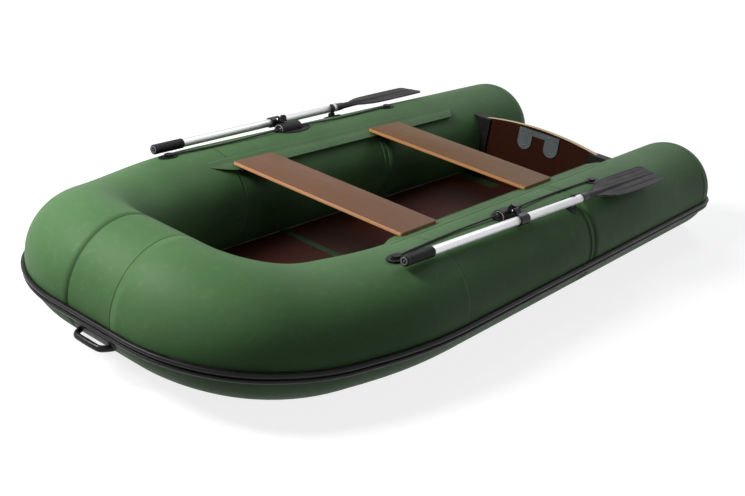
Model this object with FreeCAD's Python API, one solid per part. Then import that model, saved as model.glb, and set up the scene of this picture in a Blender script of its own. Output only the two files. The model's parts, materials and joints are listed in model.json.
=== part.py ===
# Inflatable rowing boat, about three metres long, built as separate pieces.
# Frame: +X to the bow, +Y to port, +Z up, z = 0 under the tubes, millimetres.
import FreeCAD, Part
import os
from math import asin, cos, degrees, pi, radians, sin, sqrt, tan

V = FreeCAD.Vector
os.makedirs("parts", exist_ok=True)

# ---------------------------------------------------------------- sizes
tube_radius = 191.5
half_spacing = 472.0            # centreline of a side tube from the middle of the boat
stern_start_x = -1305.0         # where the straight side tube ends
stern_cone_length = 192.0
stern_cone_fullness = 2.5       # exponent of the cone's rounding
stern_tip_z = 85.0              # height of the middle of the cone's tip
cone_drop_start = 1.1
nose_x = 1295.0                 # centreline of the bow tube
bow_lift = 47.0                 # how far the bow tube rises
entry_setback = 563.0           # first bend of the side tube, behind the nose
shoulder_setback = 217.0        # second bend, behind the nose
shoulder_narrowing = 0.1674 * half_spacing
nose_half_width = 0.6038 * half_spacing
bow_radii = (1450.0, 660.0, 225.0)
bow_band_half_width = 88.0
front_seam_x = 560.0
rear_seam_x = -270.0

strake_height = 156.0
strake_rise = 0.6               # share of the bow tube's lift that the strake follows
strake_width = 40.0
strake_base = 8.0
strake_rib = 14.0
strake_rib_width = 13.0
strake_rib_spacing = 21.0
strake_seat = 1.3               # air between the strake and the tube
strake_cone_lift = 2.5          # extra air under it at the tip of the stern cone
strake_end_share = 0.9          # how far the strake runs along the stern cone

skin_bottom = 48.0
skin_thickness = 2.0
skin_edge_gap = 1.6             # air between the bottom's edge and the tubes
skin_profile = ((960.0, 48.0), (1035.0, 51.5), (1113.0, 65.5), (1150.0, 79.5), (1200.0, 96.0))
board_thickness = 9.0
board_gap = 12.0
board_tube_clearance = 5.0
floor_front_x = 900.0
floor_joints = (296.0, -300.0)
floor_rear_x = -880.0
floor_tongue_half_width = 130.0
hinge_strip_width = 34.0
hinge_strip_thickness = 1.5

transom_front_x = -975.0
transom_thickness = 25.0
transom_half_width = half_spacing - 196.0
transom_side_top = 329.0
transom_crown = 356.0
holder_lap = 26.0               # how far the rubber holder covers the board
holder_flange = 12.0
pad_thickness = 6.0
pad_lobe_inner = 32.0
pad_lobe_outer = 100.0
pad_bottom = 250.0
pad_top = 344.0
pad_bridge = 24.0
outer_pad_width = 230.0
outer_pad_height = 150.0
outer_pad_thickness = 8.0

seat_length = 2 * (half_spacing - 104.5)
seat_width = 198.0
seat_thickness = 12.0
seat_bottom = 358.0
seat_positions = {"bow": 465.0, "stern": -308.5}
rail_length = 170.0
rail_width = 17.0
rail_wall = 3.0

flap_front_x = 665.0
flap_rear_x = -815.0
flap_taper = 75.0
flap_edge_y = half_spacing - 133.5    # the bead on the free edge of the flap
flap_edge_z = 346.5
flap_root_y = half_spacing - 92.0
flap_thickness = 2.0
bead_radius = 3.5
bead_clearance = 1.0

pin_x = 150.0                   # the pin on which an oar swings
pin_y = half_spacing + 46.0
pin_z = 420.0
pin_tilt = 18.0                 # degrees, leaning outboard
pin_radius = 6.0
pin_fit = 0.05
pin_depth = 36.0
stem_top = 6.5                  # how far the pin ends below the hinge
hinge_offset = 12.0             # the collar's hinge, outboard of the pin
hinge_radius = 3.0
barrel_radius = 7.5
fork_half_width = 13.0
fork_gap = 0.5
cheek_thickness = 4.5
housing_y = half_spacing + 23.0
housing_z = 386.0
housing_radius = 24.0
housing_front_x = 190.0
housing_rear_x = 85.0
rowlock_pad_front_x = 215.0
rowlock_pad_rear_x = 25.0
rowlock_pad_y = half_spacing + 20.0
rowlock_pad_width = 84.0
rubber_pad_thickness = 3.0

oar_handle_end = V(786.0, half_spacing + 63.0, 397.0)
oar_shaft_end = V(-253.5, half_spacing + 104.0, 391.0)
shaft_radius = 15.0
shaft_wall = 1.5
grip_radius = 17.5
grip_length = 133.0
grip_cap = 8.0
collar_radius = 20.0
collar_length = 50.0
blade_length = 570.0
blade_half_width = 58.0
blade_thickness = 5.0
blade_roll = 8.0                # degrees, outboard edge lower
blade_neck_in_shaft = 60.0

rope_radius = 3.5
rope_lift = 0.3                 # air between the rope and the tube
rope_fit = 0.8                  # air round the rope in its eyelets
rope_cover = 2.0                # rubber above the rope in an eyelet
lifeline_radii = (900.0, 600.0, 600.0, 900.0)
eyelet_positions = (747.0, -481.0)
eyelet_y = half_spacing + 16.0
eyelet_pad_length = 84.0
eyelet_pad_width = 42.0
boss_length = 40.0
boss_width = 24.0
boss_top = 392.5

oar_holder_x = -205.0
oar_holder_y = half_spacing + 84.0
oar_holder_length = 62.0
oar_holder_width = 64.0

handle_z = 125.0
handle_half_span = 62.0
handle_foot = 24.0              # how far each end spreads beyond the span
handle_reach = 45.5
handle_thickness = 20.0
handle_height = 18.0
handle_pad_thickness = 4.0
handle_pad_z = 139.0            # middle of the plate that carries the handle
handle_pad_half_height = 21.0

valve_x = -1120.0
valve_radius = 27.0
valve_height = 9.0
drain_radius = 19.0
drain_y = 190.0
drain_z = 95.0

tube_z = tube_radius
seat_gap = 0.3                  # air under the pieces that are glued on the tubes


# ---------------------------------------------------------------- helpers
def save(shape, name):
    shape.exportStep("parts/" + name + ".step")
    kinds = len(shape.Solids)
    print(f"{name}: {kinds} solid(s), {shape.Volume / 1000:.1f} cm3")


def mirrored(shape):
    return shape.mirror(V(0, 0, 0), V(0, 1, 0))


def save_pair(shape, name):
    save(shape, name + "_port")
    save(mirrored(shape), name + "_starboard")


def fuse_all(shapes):
    shapes = list(shapes)
    if len(shapes) == 1:
        return shapes[0]
    return shapes[0].multiFuse(shapes[1:]).removeSplitter()


def box(x0, x1, y0, y1, z0, z1):
    return Part.makeBox(x1 - x0, y1 - y0, z1 - z0, V(x0, y0, z0))


def rod(start, end, radius):
    axis = end - start
    return Part.makeCylinder(radius, axis.Length, start, axis)


def corner_arc(before, corner, after, radius):
    """The arc of this radius that rounds a corner: tangent points, centre, axis, turn."""
    a = (before - corner).normalize()
    b = (after - corner).normalize()
    turn = pi - a.getAngle(b)
    reach = radius * tan(turn / 2)
    centre = corner + (a + b).normalize() * (radius / cos(turn / 2))
    axis = a.cross(b).normalize() * -1
    return corner + a * reach, corner + b * reach, centre, axis, turn


def rounded_path(points, radii):
    """Straight runs joined by tangent arcs, as a list of edges."""
    edges = []
    start = points[0]
    for i in range(1, len(points) - 1):
        enter, leave, centre, axis, turn = corner_arc(
            points[i - 1], points[i], points[i + 1], radii[i - 1])
        middle = centre + (points[i] - centre).normalize() * radii[i - 1]
        if (enter - start).Length > 0.01:
            edges.append(Part.LineSegment(start, enter).toShape())
        edges.append(Part.Arc(enter, middle, leave).toShape())
        start = leave
    edges.append(Part.LineSegment(start, points[-1]).toShape())
    return edges


def rod_along(points, radii, radius):
    """A round bar along straight runs joined by tangent arcs."""
    path = Part.Wire(rounded_path(points, radii))
    disc = Part.Wire(Part.Circle(points[0], points[1] - points[0], radius).toShape())
    bar = path.makePipeShell([disc], True, False)
    return bar if bar.Volume > 0 else bar.reversed()


def prism(points, direction):
    """A flat outline of straight edges, pushed along a direction."""
    return Part.Face(Part.makePolygon(list(points) + [points[0]])).extrude(direction)


def tube_gap_y(z, extra=0.0):
    """Horizontal distance from the tube's centreline to its skin at a height."""
    return sqrt((tube_radius + extra) ** 2 - (z - tube_z) ** 2)


def tube_top_z(y, extra=0.0):
    return tube_z + sqrt((tube_radius + extra) ** 2 - (y - half_spacing) ** 2)


def oval_column(x, y, length, width, height):
    """An upright column with an oval section, its length along the boat."""
    outline = Part.Ellipse(V(x, y, 0), max(length, width) / 2, min(length, width) / 2).toShape()
    if width > length:
        outline.rotate(V(x, y, 0), V(0, 0, 1), 90)
    return Part.Face(Part.Wire(outline)).extrude(V(0, 0, height))


def patch(x, y, length, width, thickness):
    """An oval rubber patch that follows the top of the port tube."""
    column = oval_column(x, y, length, width, 2 * tube_radius + 100)
    column = column.common(box(x - length, x + length, y - width, y + width, tube_z, 600))
    outer = side_tube(x - length, x + length, tube_radius + thickness)
    inner = side_tube(x - length, x + length, tube_radius + seat_gap)
    return column.common(outer).cut(inner)


# ---------------------------------------------------------------- tubes
nose_z = tube_z + bow_lift
bend_1 = V(nose_x - entry_setback, half_spacing, tube_z)
bend_2 = V(nose_x - shoulder_setback, half_spacing - shoulder_narrowing, tube_z)
bend_3 = V(nose_x, nose_half_width, nose_z)


def side_tube(x0, x1, radius):
    return rod(V(x0, half_spacing, tube_z), V(x1, half_spacing, tube_z), radius)


bow_corners = [V(front_seam_x, half_spacing, tube_z), bend_1, bend_2, bend_3,
               V(nose_x, bow_band_half_width, nose_z)]


def bow_quarter(radius):
    return rod_along(bow_corners, bow_radii, radius)


cone_shares = (0.0, 0.22, 0.42, 0.6, 0.75, 0.87, 0.95, 0.988)


def cone_ring(share):
    """Centre and radius of the stern cone's section, its underside level with the tube's."""
    radius = tube_radius * (1 - share ** stern_cone_fullness) ** (1 / stern_cone_fullness)
    drop = min((tube_z - stern_tip_z) * share ** 2 * cone_drop_start, tube_radius - radius)
    return V(stern_start_x - share * stern_cone_length, half_spacing, tube_z - drop), radius


def stern_cone(extra):
    rings = []
    for share in cone_shares:
        centre, radius = cone_ring(share)
        rings.append(Part.Wire(Part.Circle(centre, V(-1, 0, 0), radius + extra).toShape()))
    return Part.makeLoft(rings, True, False)


def bow_band(radius):
    return rod(V(nose_x, -bow_band_half_width, nose_z), V(nose_x, bow_band_half_width, nose_z), radius)


def plan_face(inset=0.0):
    """The flat region inside the tubes' centreline, out past the stern, drawn in by an inset."""
    rear = V(stern_start_x - 2 * stern_cone_length, half_spacing, 0)
    line = [rear] + [V(p.x, p.y, 0) for p in (bend_1, bend_2, bend_3)] + [V(nose_x, 0, 0)]
    moved = [rear - V(0, inset, 0)]
    for before, corner, after in zip(line, line[1:], line[2:]):
        enter, leave, centre, axis, turn = corner_arc(before, corner, after, tube_radius)
        moved.append(corner + (centre - corner).normalize() * (inset / cos(turn / 2)))
    moved.append(line[-1] - V(inset, 0, 0))
    edges = rounded_path(moved, [radius - inset for radius in bow_radii])
    edges = [mirrored(edge) for edge in edges] + edges
    edges.append(Part.LineSegment(V(rear.x, inset - rear.y, 0), moved[0]).toShape())
    face = Part.Face(Part.Wire(Part.__sortEdges__(edges)))
    if face.normalAt(0, 0).z < 0:
        face = face.mirror(V(0, 0, 0), V(0, 0, 1))
    return face


def tube_set(extra):
    """Every tube, fattened by an extra radius, for fitting pieces against them."""
    port = [side_tube(stern_start_x, front_seam_x, tube_radius + extra),
            bow_quarter(tube_radius + extra), stern_cone(extra)]
    return port + [mirrored(s) for s in port] + [bow_band(tube_radius + extra)]


def make_tubes():
    save_pair(side_tube(rear_seam_x, front_seam_x, tube_radius), "side_tube_front")
    save_pair(side_tube(stern_start_x, rear_seam_x, tube_radius), "side_tube_rear")
    save_pair(bow_quarter(tube_radius), "bow_tube")
    save_pair(stern_cone(0.0), "stern_cone")
    save(bow_band(tube_radius), "bow_centre_tube")


def strake_section(centre, forward, radius):
    """The strake's outline where it crosses one section of the tube."""
    out = V(forward.y, -forward.x, 0).normalize()
    if out.dot(V(0.2, 1, 0)) < 0:
        out = out * -1
    level = strake_height + strake_rise * max(0, centre.z - tube_z)
    low = level - strake_width / 2
    high = level + strake_width / 2
    rib_low = level - strake_rib_spacing / 2
    rib_high = level + strake_rib_spacing / 2
    half = strake_rib_width / 2
    profile = [(low, strake_seat), (low, strake_base), (rib_low - half, strake_rib),
               (rib_low + half, strake_rib), (level, strake_base), (rib_high - half, strake_rib),
               (rib_high + half, strake_rib), (high, strake_base), (high, strake_seat),
               (level, strake_seat)]
    points = []
    for z, extra in profile:
        away = sqrt(radius ** 2 - (z - centre.z) ** 2) + extra
        points.append(V(centre.x, centre.y, z) + out * away)
    return points


def make_strake():
    """The double-ribbed rubbing strake round the outside, level along the sides and up at the bow."""
    sections = []
    for share in reversed([n * strake_end_share / 16 for n in range(1, 17)]):
        centre, radius = cone_ring(share)
        sections.append(strake_section(centre, V(1, 0, 0), radius + strake_cone_lift * share))
    straight = [V(stern_start_x, half_spacing, tube_z)] + bow_corners
    for edge in rounded_path(straight[:1] + straight[2:], bow_radii):
        curved = edge.Curve.TypeId == "Part::GeomCircle"
        steps = max(2, round(degrees(edge.Length / edge.Curve.Radius) / 3)) if curved else 1
        for n in range(steps):
            at = edge.FirstParameter + (edge.LastParameter - edge.FirstParameter) * n / steps
            sections.append(strake_section(edge.valueAt(at), edge.tangentAt(at), tube_radius))
    sections.append(strake_section(V(nose_x, bow_band_half_width, nose_z), V(0, -1, 0), tube_radius))
    sections += [[V(p.x, -p.y, p.z) for p in points] for points in reversed(sections)]
    wires = [Part.makePolygon(points + [points[0]]) for points in sections]
    save(Part.makeLoft(wires, True, True), "rub_strake")


# ---------------------------------------------------------------- bottom and floor
def make_bottom_skin():
    """The fabric bottom between the tubes, which rises with them at the bow."""
    rear = transom_front_x - transom_thickness - 15
    lower = [V(rear, -1000, skin_bottom)] + [V(x, -1000, z) for x, z in skin_profile]
    upper = [p + V(0, 0, skin_thickness) for p in reversed(lower)]
    inset = tube_gap_y(skin_bottom + skin_thickness) + skin_edge_gap
    area = plan_face(inset).extrude(V(0, 0, 600))
    save(prism(lower + upper, V(0, 2000, 0)).common(area).Solids[0], "bottom_skin")


def make_floor():
    top = skin_bottom + skin_thickness + board_thickness
    inset = tube_gap_y(top) + board_tube_clearance
    area = plan_face(inset)
    plate = area.extrude(V(0, 0, board_thickness)).translated(V(0, 0, top - board_thickness))
    ends = (floor_front_x,) + floor_joints + (floor_rear_x,)
    names = ("floorboard_bow", "floorboard_middle", "floorboard_stern")
    for name, x1, x0 in zip(names, ends, ends[1:]):
        front = x1 if name == "floorboard_bow" else x1 - board_gap / 2
        rear = x0 if name == "floorboard_stern" else x0 + board_gap / 2
        board = plate.common(box(rear, front, -1000, 1000, 0, 200))
        if name == "floorboard_stern":
            tongue = box(transom_front_x + 10, rear + 1, -floor_tongue_half_width,
                         floor_tongue_half_width, top - board_thickness, top)
            board = fuse_all([board, tongue])
        save(board, name)
    strips = []
    for x in floor_joints:
        sheet = area.extrude(V(0, 0, hinge_strip_thickness)).translated(V(0, 0, top))
        strips.append(sheet.common(
            box(x - hinge_strip_width / 2, x + hinge_strip_width / 2, -1000, 1000, 0, 200)))
    save(Part.makeCompound([s.Solids[0] for s in strips]), "floor_hinge_strips")


# ---------------------------------------------------------------- transom
def crown_arc(x, y0, z0, crown):
    return Part.Arc(V(x, -y0, z0), V(x, 0, crown), V(x, y0, z0)).toShape()


def make_transom():
    rear = transom_front_x - transom_thickness
    low = skin_bottom + skin_thickness
    w = transom_half_width
    edges = [crown_arc(rear, w, transom_side_top, transom_crown),
             Part.LineSegment(V(rear, w, transom_side_top), V(rear, w, low)).toShape(),
             Part.LineSegment(V(rear, w, low), V(rear, -w, low)).toShape(),
             Part.LineSegment(V(rear, -w, low), V(rear, -w, transom_side_top)).toShape()]
    board = Part.Face(Part.Wire(Part.__sortEdges__(edges))).extrude(V(transom_thickness, 0, 0))
    drain = rod(V(rear - 1, drain_y, drain_z), V(transom_front_x + 1, drain_y, drain_z), drain_radius)
    save(board.cut(drain), "transom_board")

    sleeve = rod(V(rear - 4, drain_y, drain_z), V(transom_front_x, drain_y, drain_z), drain_radius)
    cap = rod(V(rear - 12, drain_y, drain_z), V(rear, drain_y, drain_z), drain_radius + 9)
    rim = rod(V(transom_front_x, drain_y, drain_z), V(transom_front_x + 4, drain_y, drain_z),
              drain_radius + 7)
    save(fuse_all([sleeve, cap, rim]), "drain_plug")

    block = box(rear - holder_flange, transom_front_x + holder_flange, w - holder_lap,
                half_spacing - 60, low, transom_side_top)
    slot = box(rear, transom_front_x, w - holder_lap - 1, w, low - 1, transom_side_top + 1)
    outer = side_tube(stern_start_x, front_seam_x, tube_radius + seat_gap)
    holder = block.cut(slot).cut(outer)
    save_pair(max(holder.Solids, key=lambda s: s.Volume), "transom_holder")


def lobe(x, y0, y1, z0, z1, thickness):
    """An upright plate with a round lower end."""
    radius = (y1 - y0) / 2
    middle = (y0 + y1) / 2
    plate = box(x, x + thickness, y0, y1, z0 + radius, z1)
    return plate.fuse(rod(V(x, middle, z0 + radius), V(x + thickness, middle, z0 + radius), radius))


def make_motor_pads():
    x = transom_front_x
    lobes = [lobe(x, side * pad_lobe_inner if side > 0 else -pad_lobe_outer,
                  side * pad_lobe_outer if side > 0 else -pad_lobe_inner,
                  pad_bottom, pad_top, pad_thickness) for side in (-1, 1)]
    bridge = box(x, x + pad_thickness, -pad_lobe_inner - 1, pad_lobe_inner + 1,
                 pad_top - pad_bridge, pad_top)
    save(fuse_all(lobes + [bridge]), "motor_pad_inner")
    rear = x - transom_thickness
    plate = box(rear - outer_pad_thickness, rear, -outer_pad_width / 2, outer_pad_width / 2,
                pad_top - outer_pad_height, pad_top)
    corners = [e for e in plate.Edges if abs(e.Vertexes[0].Y - e.Vertexes[-1].Y) < 1
               and abs(e.Vertexes[0].Z - e.Vertexes[-1].Z) < 1]
    save(plate.makeFillet(16, corners), "motor_pad_outer")


# ---------------------------------------------------------------- seats
def make_flaps():
    """The fabric strip on the tube whose beaded edge carries the seats."""
    root_z = tube_top_z(flap_root_y)
    slope = V(0, flap_root_y - flap_edge_y, root_z - flap_edge_z).normalize()
    up = V(0, -slope.z, slope.y) * (flap_thickness / 2)
    edge = V(0, flap_edge_y, flap_edge_z)
    root = V(0, flap_root_y + 6, 0) + V(0, 0, root_z + 6 * slope.z / slope.y)
    section = [edge - up, root - up, root + up, edge + up]
    strip = prism([V(flap_rear_x, p.y, p.z) for p in section], V(flap_front_x - flap_rear_x, 0, 0))
    for x, way in ((flap_front_x, -1), (flap_rear_x, 1)):
        tip = prism([V(x - way, flap_edge_y - 9, 300), V(x + way * flap_taper, flap_edge_y - 9, 300),
                     V(x - way, flap_root_y + 4, 300)], V(0, 0, 120))
        strip = strip.cut(tip)
    strip = strip.cut(side_tube(stern_start_x, flap_front_x + 100, tube_radius))
    bend_start, bend_end, centre, axis, turn = corner_arc(
        bend_1 - V(300, 0, 0), bend_1, bend_2, bow_radii[0])
    drift = (flap_front_x + 20 - bend_start.x) ** 2 / (2 * bow_radii[0])
    strip = strip.cut(rod(bend_start, V(flap_front_x + 20, half_spacing - drift, tube_z),
                          tube_radius + seat_gap))
    inset = flap_taper
    bead = rod(V(flap_rear_x + inset, edge.y, edge.z), V(flap_front_x - inset, edge.y, edge.z),
               bead_radius)
    save_pair(fuse_all([max(strip.Solids, key=lambda s: s.Volume), bead]), "seat_flap")


def make_seats():
    half = seat_length / 2
    for name, x in seat_positions.items():
        x0 = x - seat_width / 2
        x1 = x + seat_width / 2
        board = box(x0, x1, -half, half, seat_bottom, seat_bottom + seat_thickness)
        corners = [e for e in board.Edges if abs(e.Vertexes[0].Z - e.Vertexes[-1].Z) > 1]
        save(board.makeFillet(6, corners), "seat_board_" + name)
        bore = bead_radius + bead_clearance
        low = flap_edge_z - bore - rail_wall
        rail = box(x - rail_length / 2, x + rail_length / 2, flap_edge_y - rail_width / 2,
                   flap_edge_y + rail_width / 2, low, seat_bottom)
        hole = rod(V(x0, flap_edge_y, flap_edge_z), V(x1, flap_edge_y, flap_edge_z), bore)
        slope = (tube_top_z(flap_root_y) - flap_edge_z) / (flap_root_y - flap_edge_y)
        half_slit = flap_thickness / 2 + bead_clearance
        y1 = flap_edge_y + rail_width
        z1 = flap_edge_z + slope * rail_width
        slit = prism([V(x0, flap_edge_y, flap_edge_z - half_slit), V(x0, y1, z1 - half_slit),
                      V(x0, y1, z1 + half_slit), V(x0, flap_edge_y, flap_edge_z + half_slit)],
                     V(x1 - x0, 0, 0))
        rail = rail.cut(hole).cut(slit)
        rail = max(rail.Solids, key=lambda s: s.Volume)
        save(Part.makeCompound([rail, mirrored(rail)]), "seat_rails_" + name)


# ---------------------------------------------------------------- rowlocks and oars
lean = V(0, sin(radians(pin_tilt)), cos(radians(pin_tilt)))
outboard = V(0, cos(radians(pin_tilt)), -sin(radians(pin_tilt)))
pin_point = V(pin_x, pin_y, pin_z)
oar_axis = (oar_handle_end - oar_shaft_end).normalize()
hinge_out = (outboard - oar_axis * outboard.dot(oar_axis)).normalize()
hinge_up = oar_axis.cross(hinge_out)
hinge_point = pin_point + hinge_out * hinge_offset


def on_oar(x):
    """The point of the oar's centreline at a place along the boat."""
    return oar_shaft_end + oar_axis * ((x - oar_shaft_end.x) / oar_axis.x)


def make_rowlock_base():
    pad_x = (rowlock_pad_front_x + rowlock_pad_rear_x) / 2
    pad = patch(pad_x, rowlock_pad_y, rowlock_pad_front_x - rowlock_pad_rear_x, rowlock_pad_width,
                rubber_pad_thickness)
    housing = rod(V(housing_rear_x, housing_y, housing_z), V(housing_front_x, housing_y, housing_z),
                  housing_radius)
    housing = housing.cut(side_tube(0, front_seam_x, tube_radius + 1))
    rope_way = rod(V(0, rope_at_rowlock_y, rope_at_rowlock_z),
                   V(front_seam_x, rope_at_rowlock_y, rope_at_rowlock_z), rope_radius + 2.5)
    bore = rod(pin_point, pin_point - lean * (pin_depth + 1), pin_radius + pin_fit)
    base = fuse_all([pad, max(housing.Solids, key=lambda s: s.Volume)]).cut(rope_way).cut(bore)
    save_pair(max(base.Solids, key=lambda s: s.Volume), "rowlock_base")


def make_rowlock_yoke():
    """The fork that turns on the pin and carries the collar's hinge."""
    w = fork_half_width

    def local(x, out, up):
        return pin_point + oar_axis * x + hinge_out * out + hinge_up * up

    def slab(x0, x1, out0, out1, up0, up1):
        face = [local(x0, out0, up0), local(x0, out1, up0), local(x0, out1, up1), local(x0, out0, up1)]
        return prism(face, oar_axis * (x1 - x0))

    stem = rod(pin_point - lean * pin_depth, pin_point - lean * stem_top, pin_radius)
    bridge = slab(-w, w, -8, hinge_offset - barrel_radius - 1.5, -12, 8)
    pieces = [stem, bridge, rod(local(0, -2, 8), local(0, -2, 13), 9)]
    for side in (-1, 1):
        inner = side * (w - cheek_thickness)
        outer = side * w
        x0, x1 = min(inner, outer), max(inner, outer)
        pieces.append(slab(x0, x1, 0, hinge_offset, -8, 8))
        pieces.append(rod(local(x0, hinge_offset, 0), local(x1, hinge_offset, 0), 8))
    pieces.append(rod(local(-w - 3, hinge_offset, 0), local(w + 3, hinge_offset, 0), hinge_radius))
    save_pair(fuse_all(pieces), "rowlock_yoke")


def make_collar():
    centre = on_oar(pin_x)
    ring = rod(centre - oar_axis * collar_length / 2, centre + oar_axis * collar_length / 2,
               collar_radius)
    half = fork_half_width - cheek_thickness - fork_gap
    barrel = rod(hinge_point - oar_axis * half, hinge_point + oar_axis * half, barrel_radius)
    side = oar_axis.cross(centre - hinge_point).normalize() * 4
    foot = centre - oar_axis * half
    head = hinge_point - oar_axis * half
    arm = prism([head - side, foot - side, foot + side, head + side], oar_axis * (2 * half))
    ear = fuse_all([barrel, arm, ring])
    bore = rod(hinge_point - oar_axis * 40, hinge_point + oar_axis * 40, hinge_radius + pin_fit)
    ear = ear.cut(bore)
    save_pair(ear.cut(rod(oar_handle_end, oar_shaft_end, shaft_radius)), "oar_collar")


def make_oar():
    grip_start = oar_handle_end - oar_axis * grip_length
    inner_end = oar_handle_end - oar_axis * grip_cap
    shaft = rod(oar_shaft_end, inner_end, shaft_radius)
    shaft = shaft.cut(rod(oar_shaft_end, inner_end, shaft_radius - shaft_wall))
    save_pair(shaft, "oar_shaft")
    grip = rod(grip_start, oar_handle_end, grip_radius)
    rim = [e for e in grip.Edges if e.CenterOfMass.x > oar_handle_end.x - 1 and e.Length > 50]
    grip = grip.makeFillet(5, rim)
    save_pair(grip.cut(rod(grip_start, inner_end, shaft_radius)), "oar_grip")

    # The blade is drawn along -X from the shaft's end and turned into place.
    w = blade_half_width
    t = blade_thickness
    half_outline = [(0, 11), (60, 13), (150, 40), (230, w - 2), (420, w + 1), (blade_length - 25, w),
                    (blade_length, w - 14)]
    curve = Part.BSplineCurve()
    curve.interpolate([V(-s, h, 0) for s, h in half_outline[:5]])
    edges = [curve.toShape(),
             Part.LineSegment(V(-420, w + 1, 0), V(-(blade_length - 25), w, 0)).toShape(),
             Part.LineSegment(V(-(blade_length - 25), w, 0), V(-blade_length, w - 14, 0)).toShape(),
             Part.LineSegment(V(-blade_length, w - 14, 0), V(-blade_length, 0, 0)).toShape(),
             Part.LineSegment(V(-blade_length, 0, 0), V(0, 0, 0)).toShape(),
             Part.LineSegment(V(0, 0, 0), V(0, 11, 0)).toShape()]
    half = Part.Face(Part.Wire(Part.__sortEdges__(edges))).extrude(V(0, 0, t))
    plate = half.fuse(mirrored(half)).removeSplitter().translated(V(0, 0, -t / 2))
    spine = Part.makeCone(shaft_radius - shaft_wall - 0.5, 4.5, blade_length - 40, V(0, 0, 0), V(-1, 0, 0))
    neck = rod(V(0, 0, 0), V(blade_neck_in_shaft, 0, 0), shaft_radius - shaft_wall - 0.1)
    blade = fuse_all([plate, spine, neck])
    blade.rotate(V(0, 0, 0), V(1, 0, 0), -blade_roll)
    heading = degrees(asin(oar_axis.y))
    blade.rotate(V(0, 0, 0), V(0, 0, 1), heading)
    blade.rotate(V(0, 0, 0), V(0, 1, 0), -degrees(asin(oar_axis.z)))
    save_pair(blade.translated(oar_shaft_end), "oar_blade")


# ---------------------------------------------------------------- lifelines and fittings
rope_top_y = half_spacing + 5
rope_top_z = tube_top_z(rope_top_y) + rope_radius + rope_lift
rope_at_rowlock_y = housing_y - 6
rope_at_rowlock_z = housing_z + 5


rope_end_z = boss_top - rope_cover - rope_radius


def lifeline_points():
    front, rear = eyelet_positions
    return [V(front, eyelet_y, rope_end_z), V(front - 260, rope_top_y, rope_top_z),
            V(housing_front_x + 12, rope_at_rowlock_y, rope_at_rowlock_z),
            V(housing_rear_x - 12, rope_at_rowlock_y, rope_at_rowlock_z),
            V(rear + 300, rope_top_y + 2, rope_top_z), V(rear, eyelet_y + 6, rope_end_z)]


def make_lifelines():
    save_pair(rod_along(lifeline_points(), lifeline_radii, rope_radius), "lifeline")
    print("lifeline bend radii:", lifeline_radii)


def make_eyelets():
    """A rubber patch with a raised boss at each end of the lifeline, open towards the rope."""
    points = lifeline_points()
    pieces = []
    for end, next_point, way in ((points[0], points[1], 1), (points[-1], points[-2], -1)):
        pad = patch(end.x + way * 12, end.y, eyelet_pad_length, eyelet_pad_width, rubber_pad_thickness)
        boss = oval_column(end.x + way * 10, end.y, boss_length, boss_width, boss_top)
        boss = boss.cut(side_tube(-2000, 2000, tube_radius + 1))
        boss = boss.common(box(-2000, 2000, 0, 1000, tube_z, 600))
        towards = (next_point - end).normalize()
        way_in = rod(end - towards, end + towards * 60, rope_radius + rope_fit)
        pieces.append(fuse_all([pad, max(boss.Solids, key=lambda s: s.Volume)]).cut(way_in))
    save_pair(Part.makeCompound([max(p.Solids, key=lambda s: s.Volume) for p in pieces]),
              "lifeline_eyelets")


def make_oar_holder():
    """A low rubber cradle below the shaft, with a hook on its inboard side only."""
    pad = patch(oar_holder_x, oar_holder_y, oar_holder_length, oar_holder_width, rubber_pad_thickness + 1)
    axis = on_oar(oar_holder_x)
    reach = shaft_radius + 1.5
    ring = rod(axis - oar_axis * 9, axis + oar_axis * 9, reach + 5)
    ring = ring.cut(rod(axis - oar_axis * 10, axis + oar_axis * 10, reach))
    inboard = box(oar_holder_x - 30, oar_holder_x + 30, axis.y - 60, axis.y - 4, axis.z - 40, axis.z + 40)
    hook = ring.common(inboard)
    foot = box(oar_holder_x - 9, oar_holder_x + 9, axis.y - reach - 7, axis.y - 4,
               tube_z, axis.z - reach + 3)
    foot = foot.cut(side_tube(-1000, 1000, tube_radius + 1))
    foot = foot.cut(rod(axis - oar_axis * 30, axis + oar_axis * 30, reach))
    save_pair(fuse_all([pad, hook, max(foot.Solids, key=lambda s: s.Volume)]), "oar_holder")


def make_bow_handle():
    """A moulded carrying handle low on the bow, with room for the fingers behind it."""
    skin_x = nose_x + sqrt(tube_radius ** 2 - (nose_z - handle_z) ** 2)
    outer_x = skin_x + handle_reach
    z0 = handle_z - handle_height / 2
    s = handle_half_span
    foot = s + handle_foot
    outline = [V(nose_x, -foot, z0), V(skin_x + 6, -foot, z0), V(outer_x - 6, -s + 6, z0),
               V(outer_x, -s + 22, z0), V(outer_x, s - 22, z0), V(outer_x - 6, s - 6, z0),
               V(skin_x + 6, foot, z0), V(nose_x, foot, z0)]
    body = prism(outline, V(0, 0, handle_height))
    grip = outer_x - handle_thickness
    window = prism([V(nose_x, -s + 8, z0 - 1), V(grip - 8, -s + 14, z0 - 1), V(grip, -s + 24, z0 - 1),
                    V(grip, s - 24, z0 - 1), V(grip - 8, s - 14, z0 - 1), V(nose_x, s - 8, z0 - 1)],
                   V(0, 0, handle_height + 2))
    body = body.cut(window)
    pad = box(nose_x, skin_x + 60, -foot, foot,
              handle_pad_z - handle_pad_half_height, handle_pad_z + handle_pad_half_height)
    body = body.fuse(pad.common(bow_band(tube_radius + handle_pad_thickness)))
    body = body.cut(bow_band(tube_radius + seat_gap))
    save(max(body.Solids, key=lambda piece: piece.Volume), "bow_handle")


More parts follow.
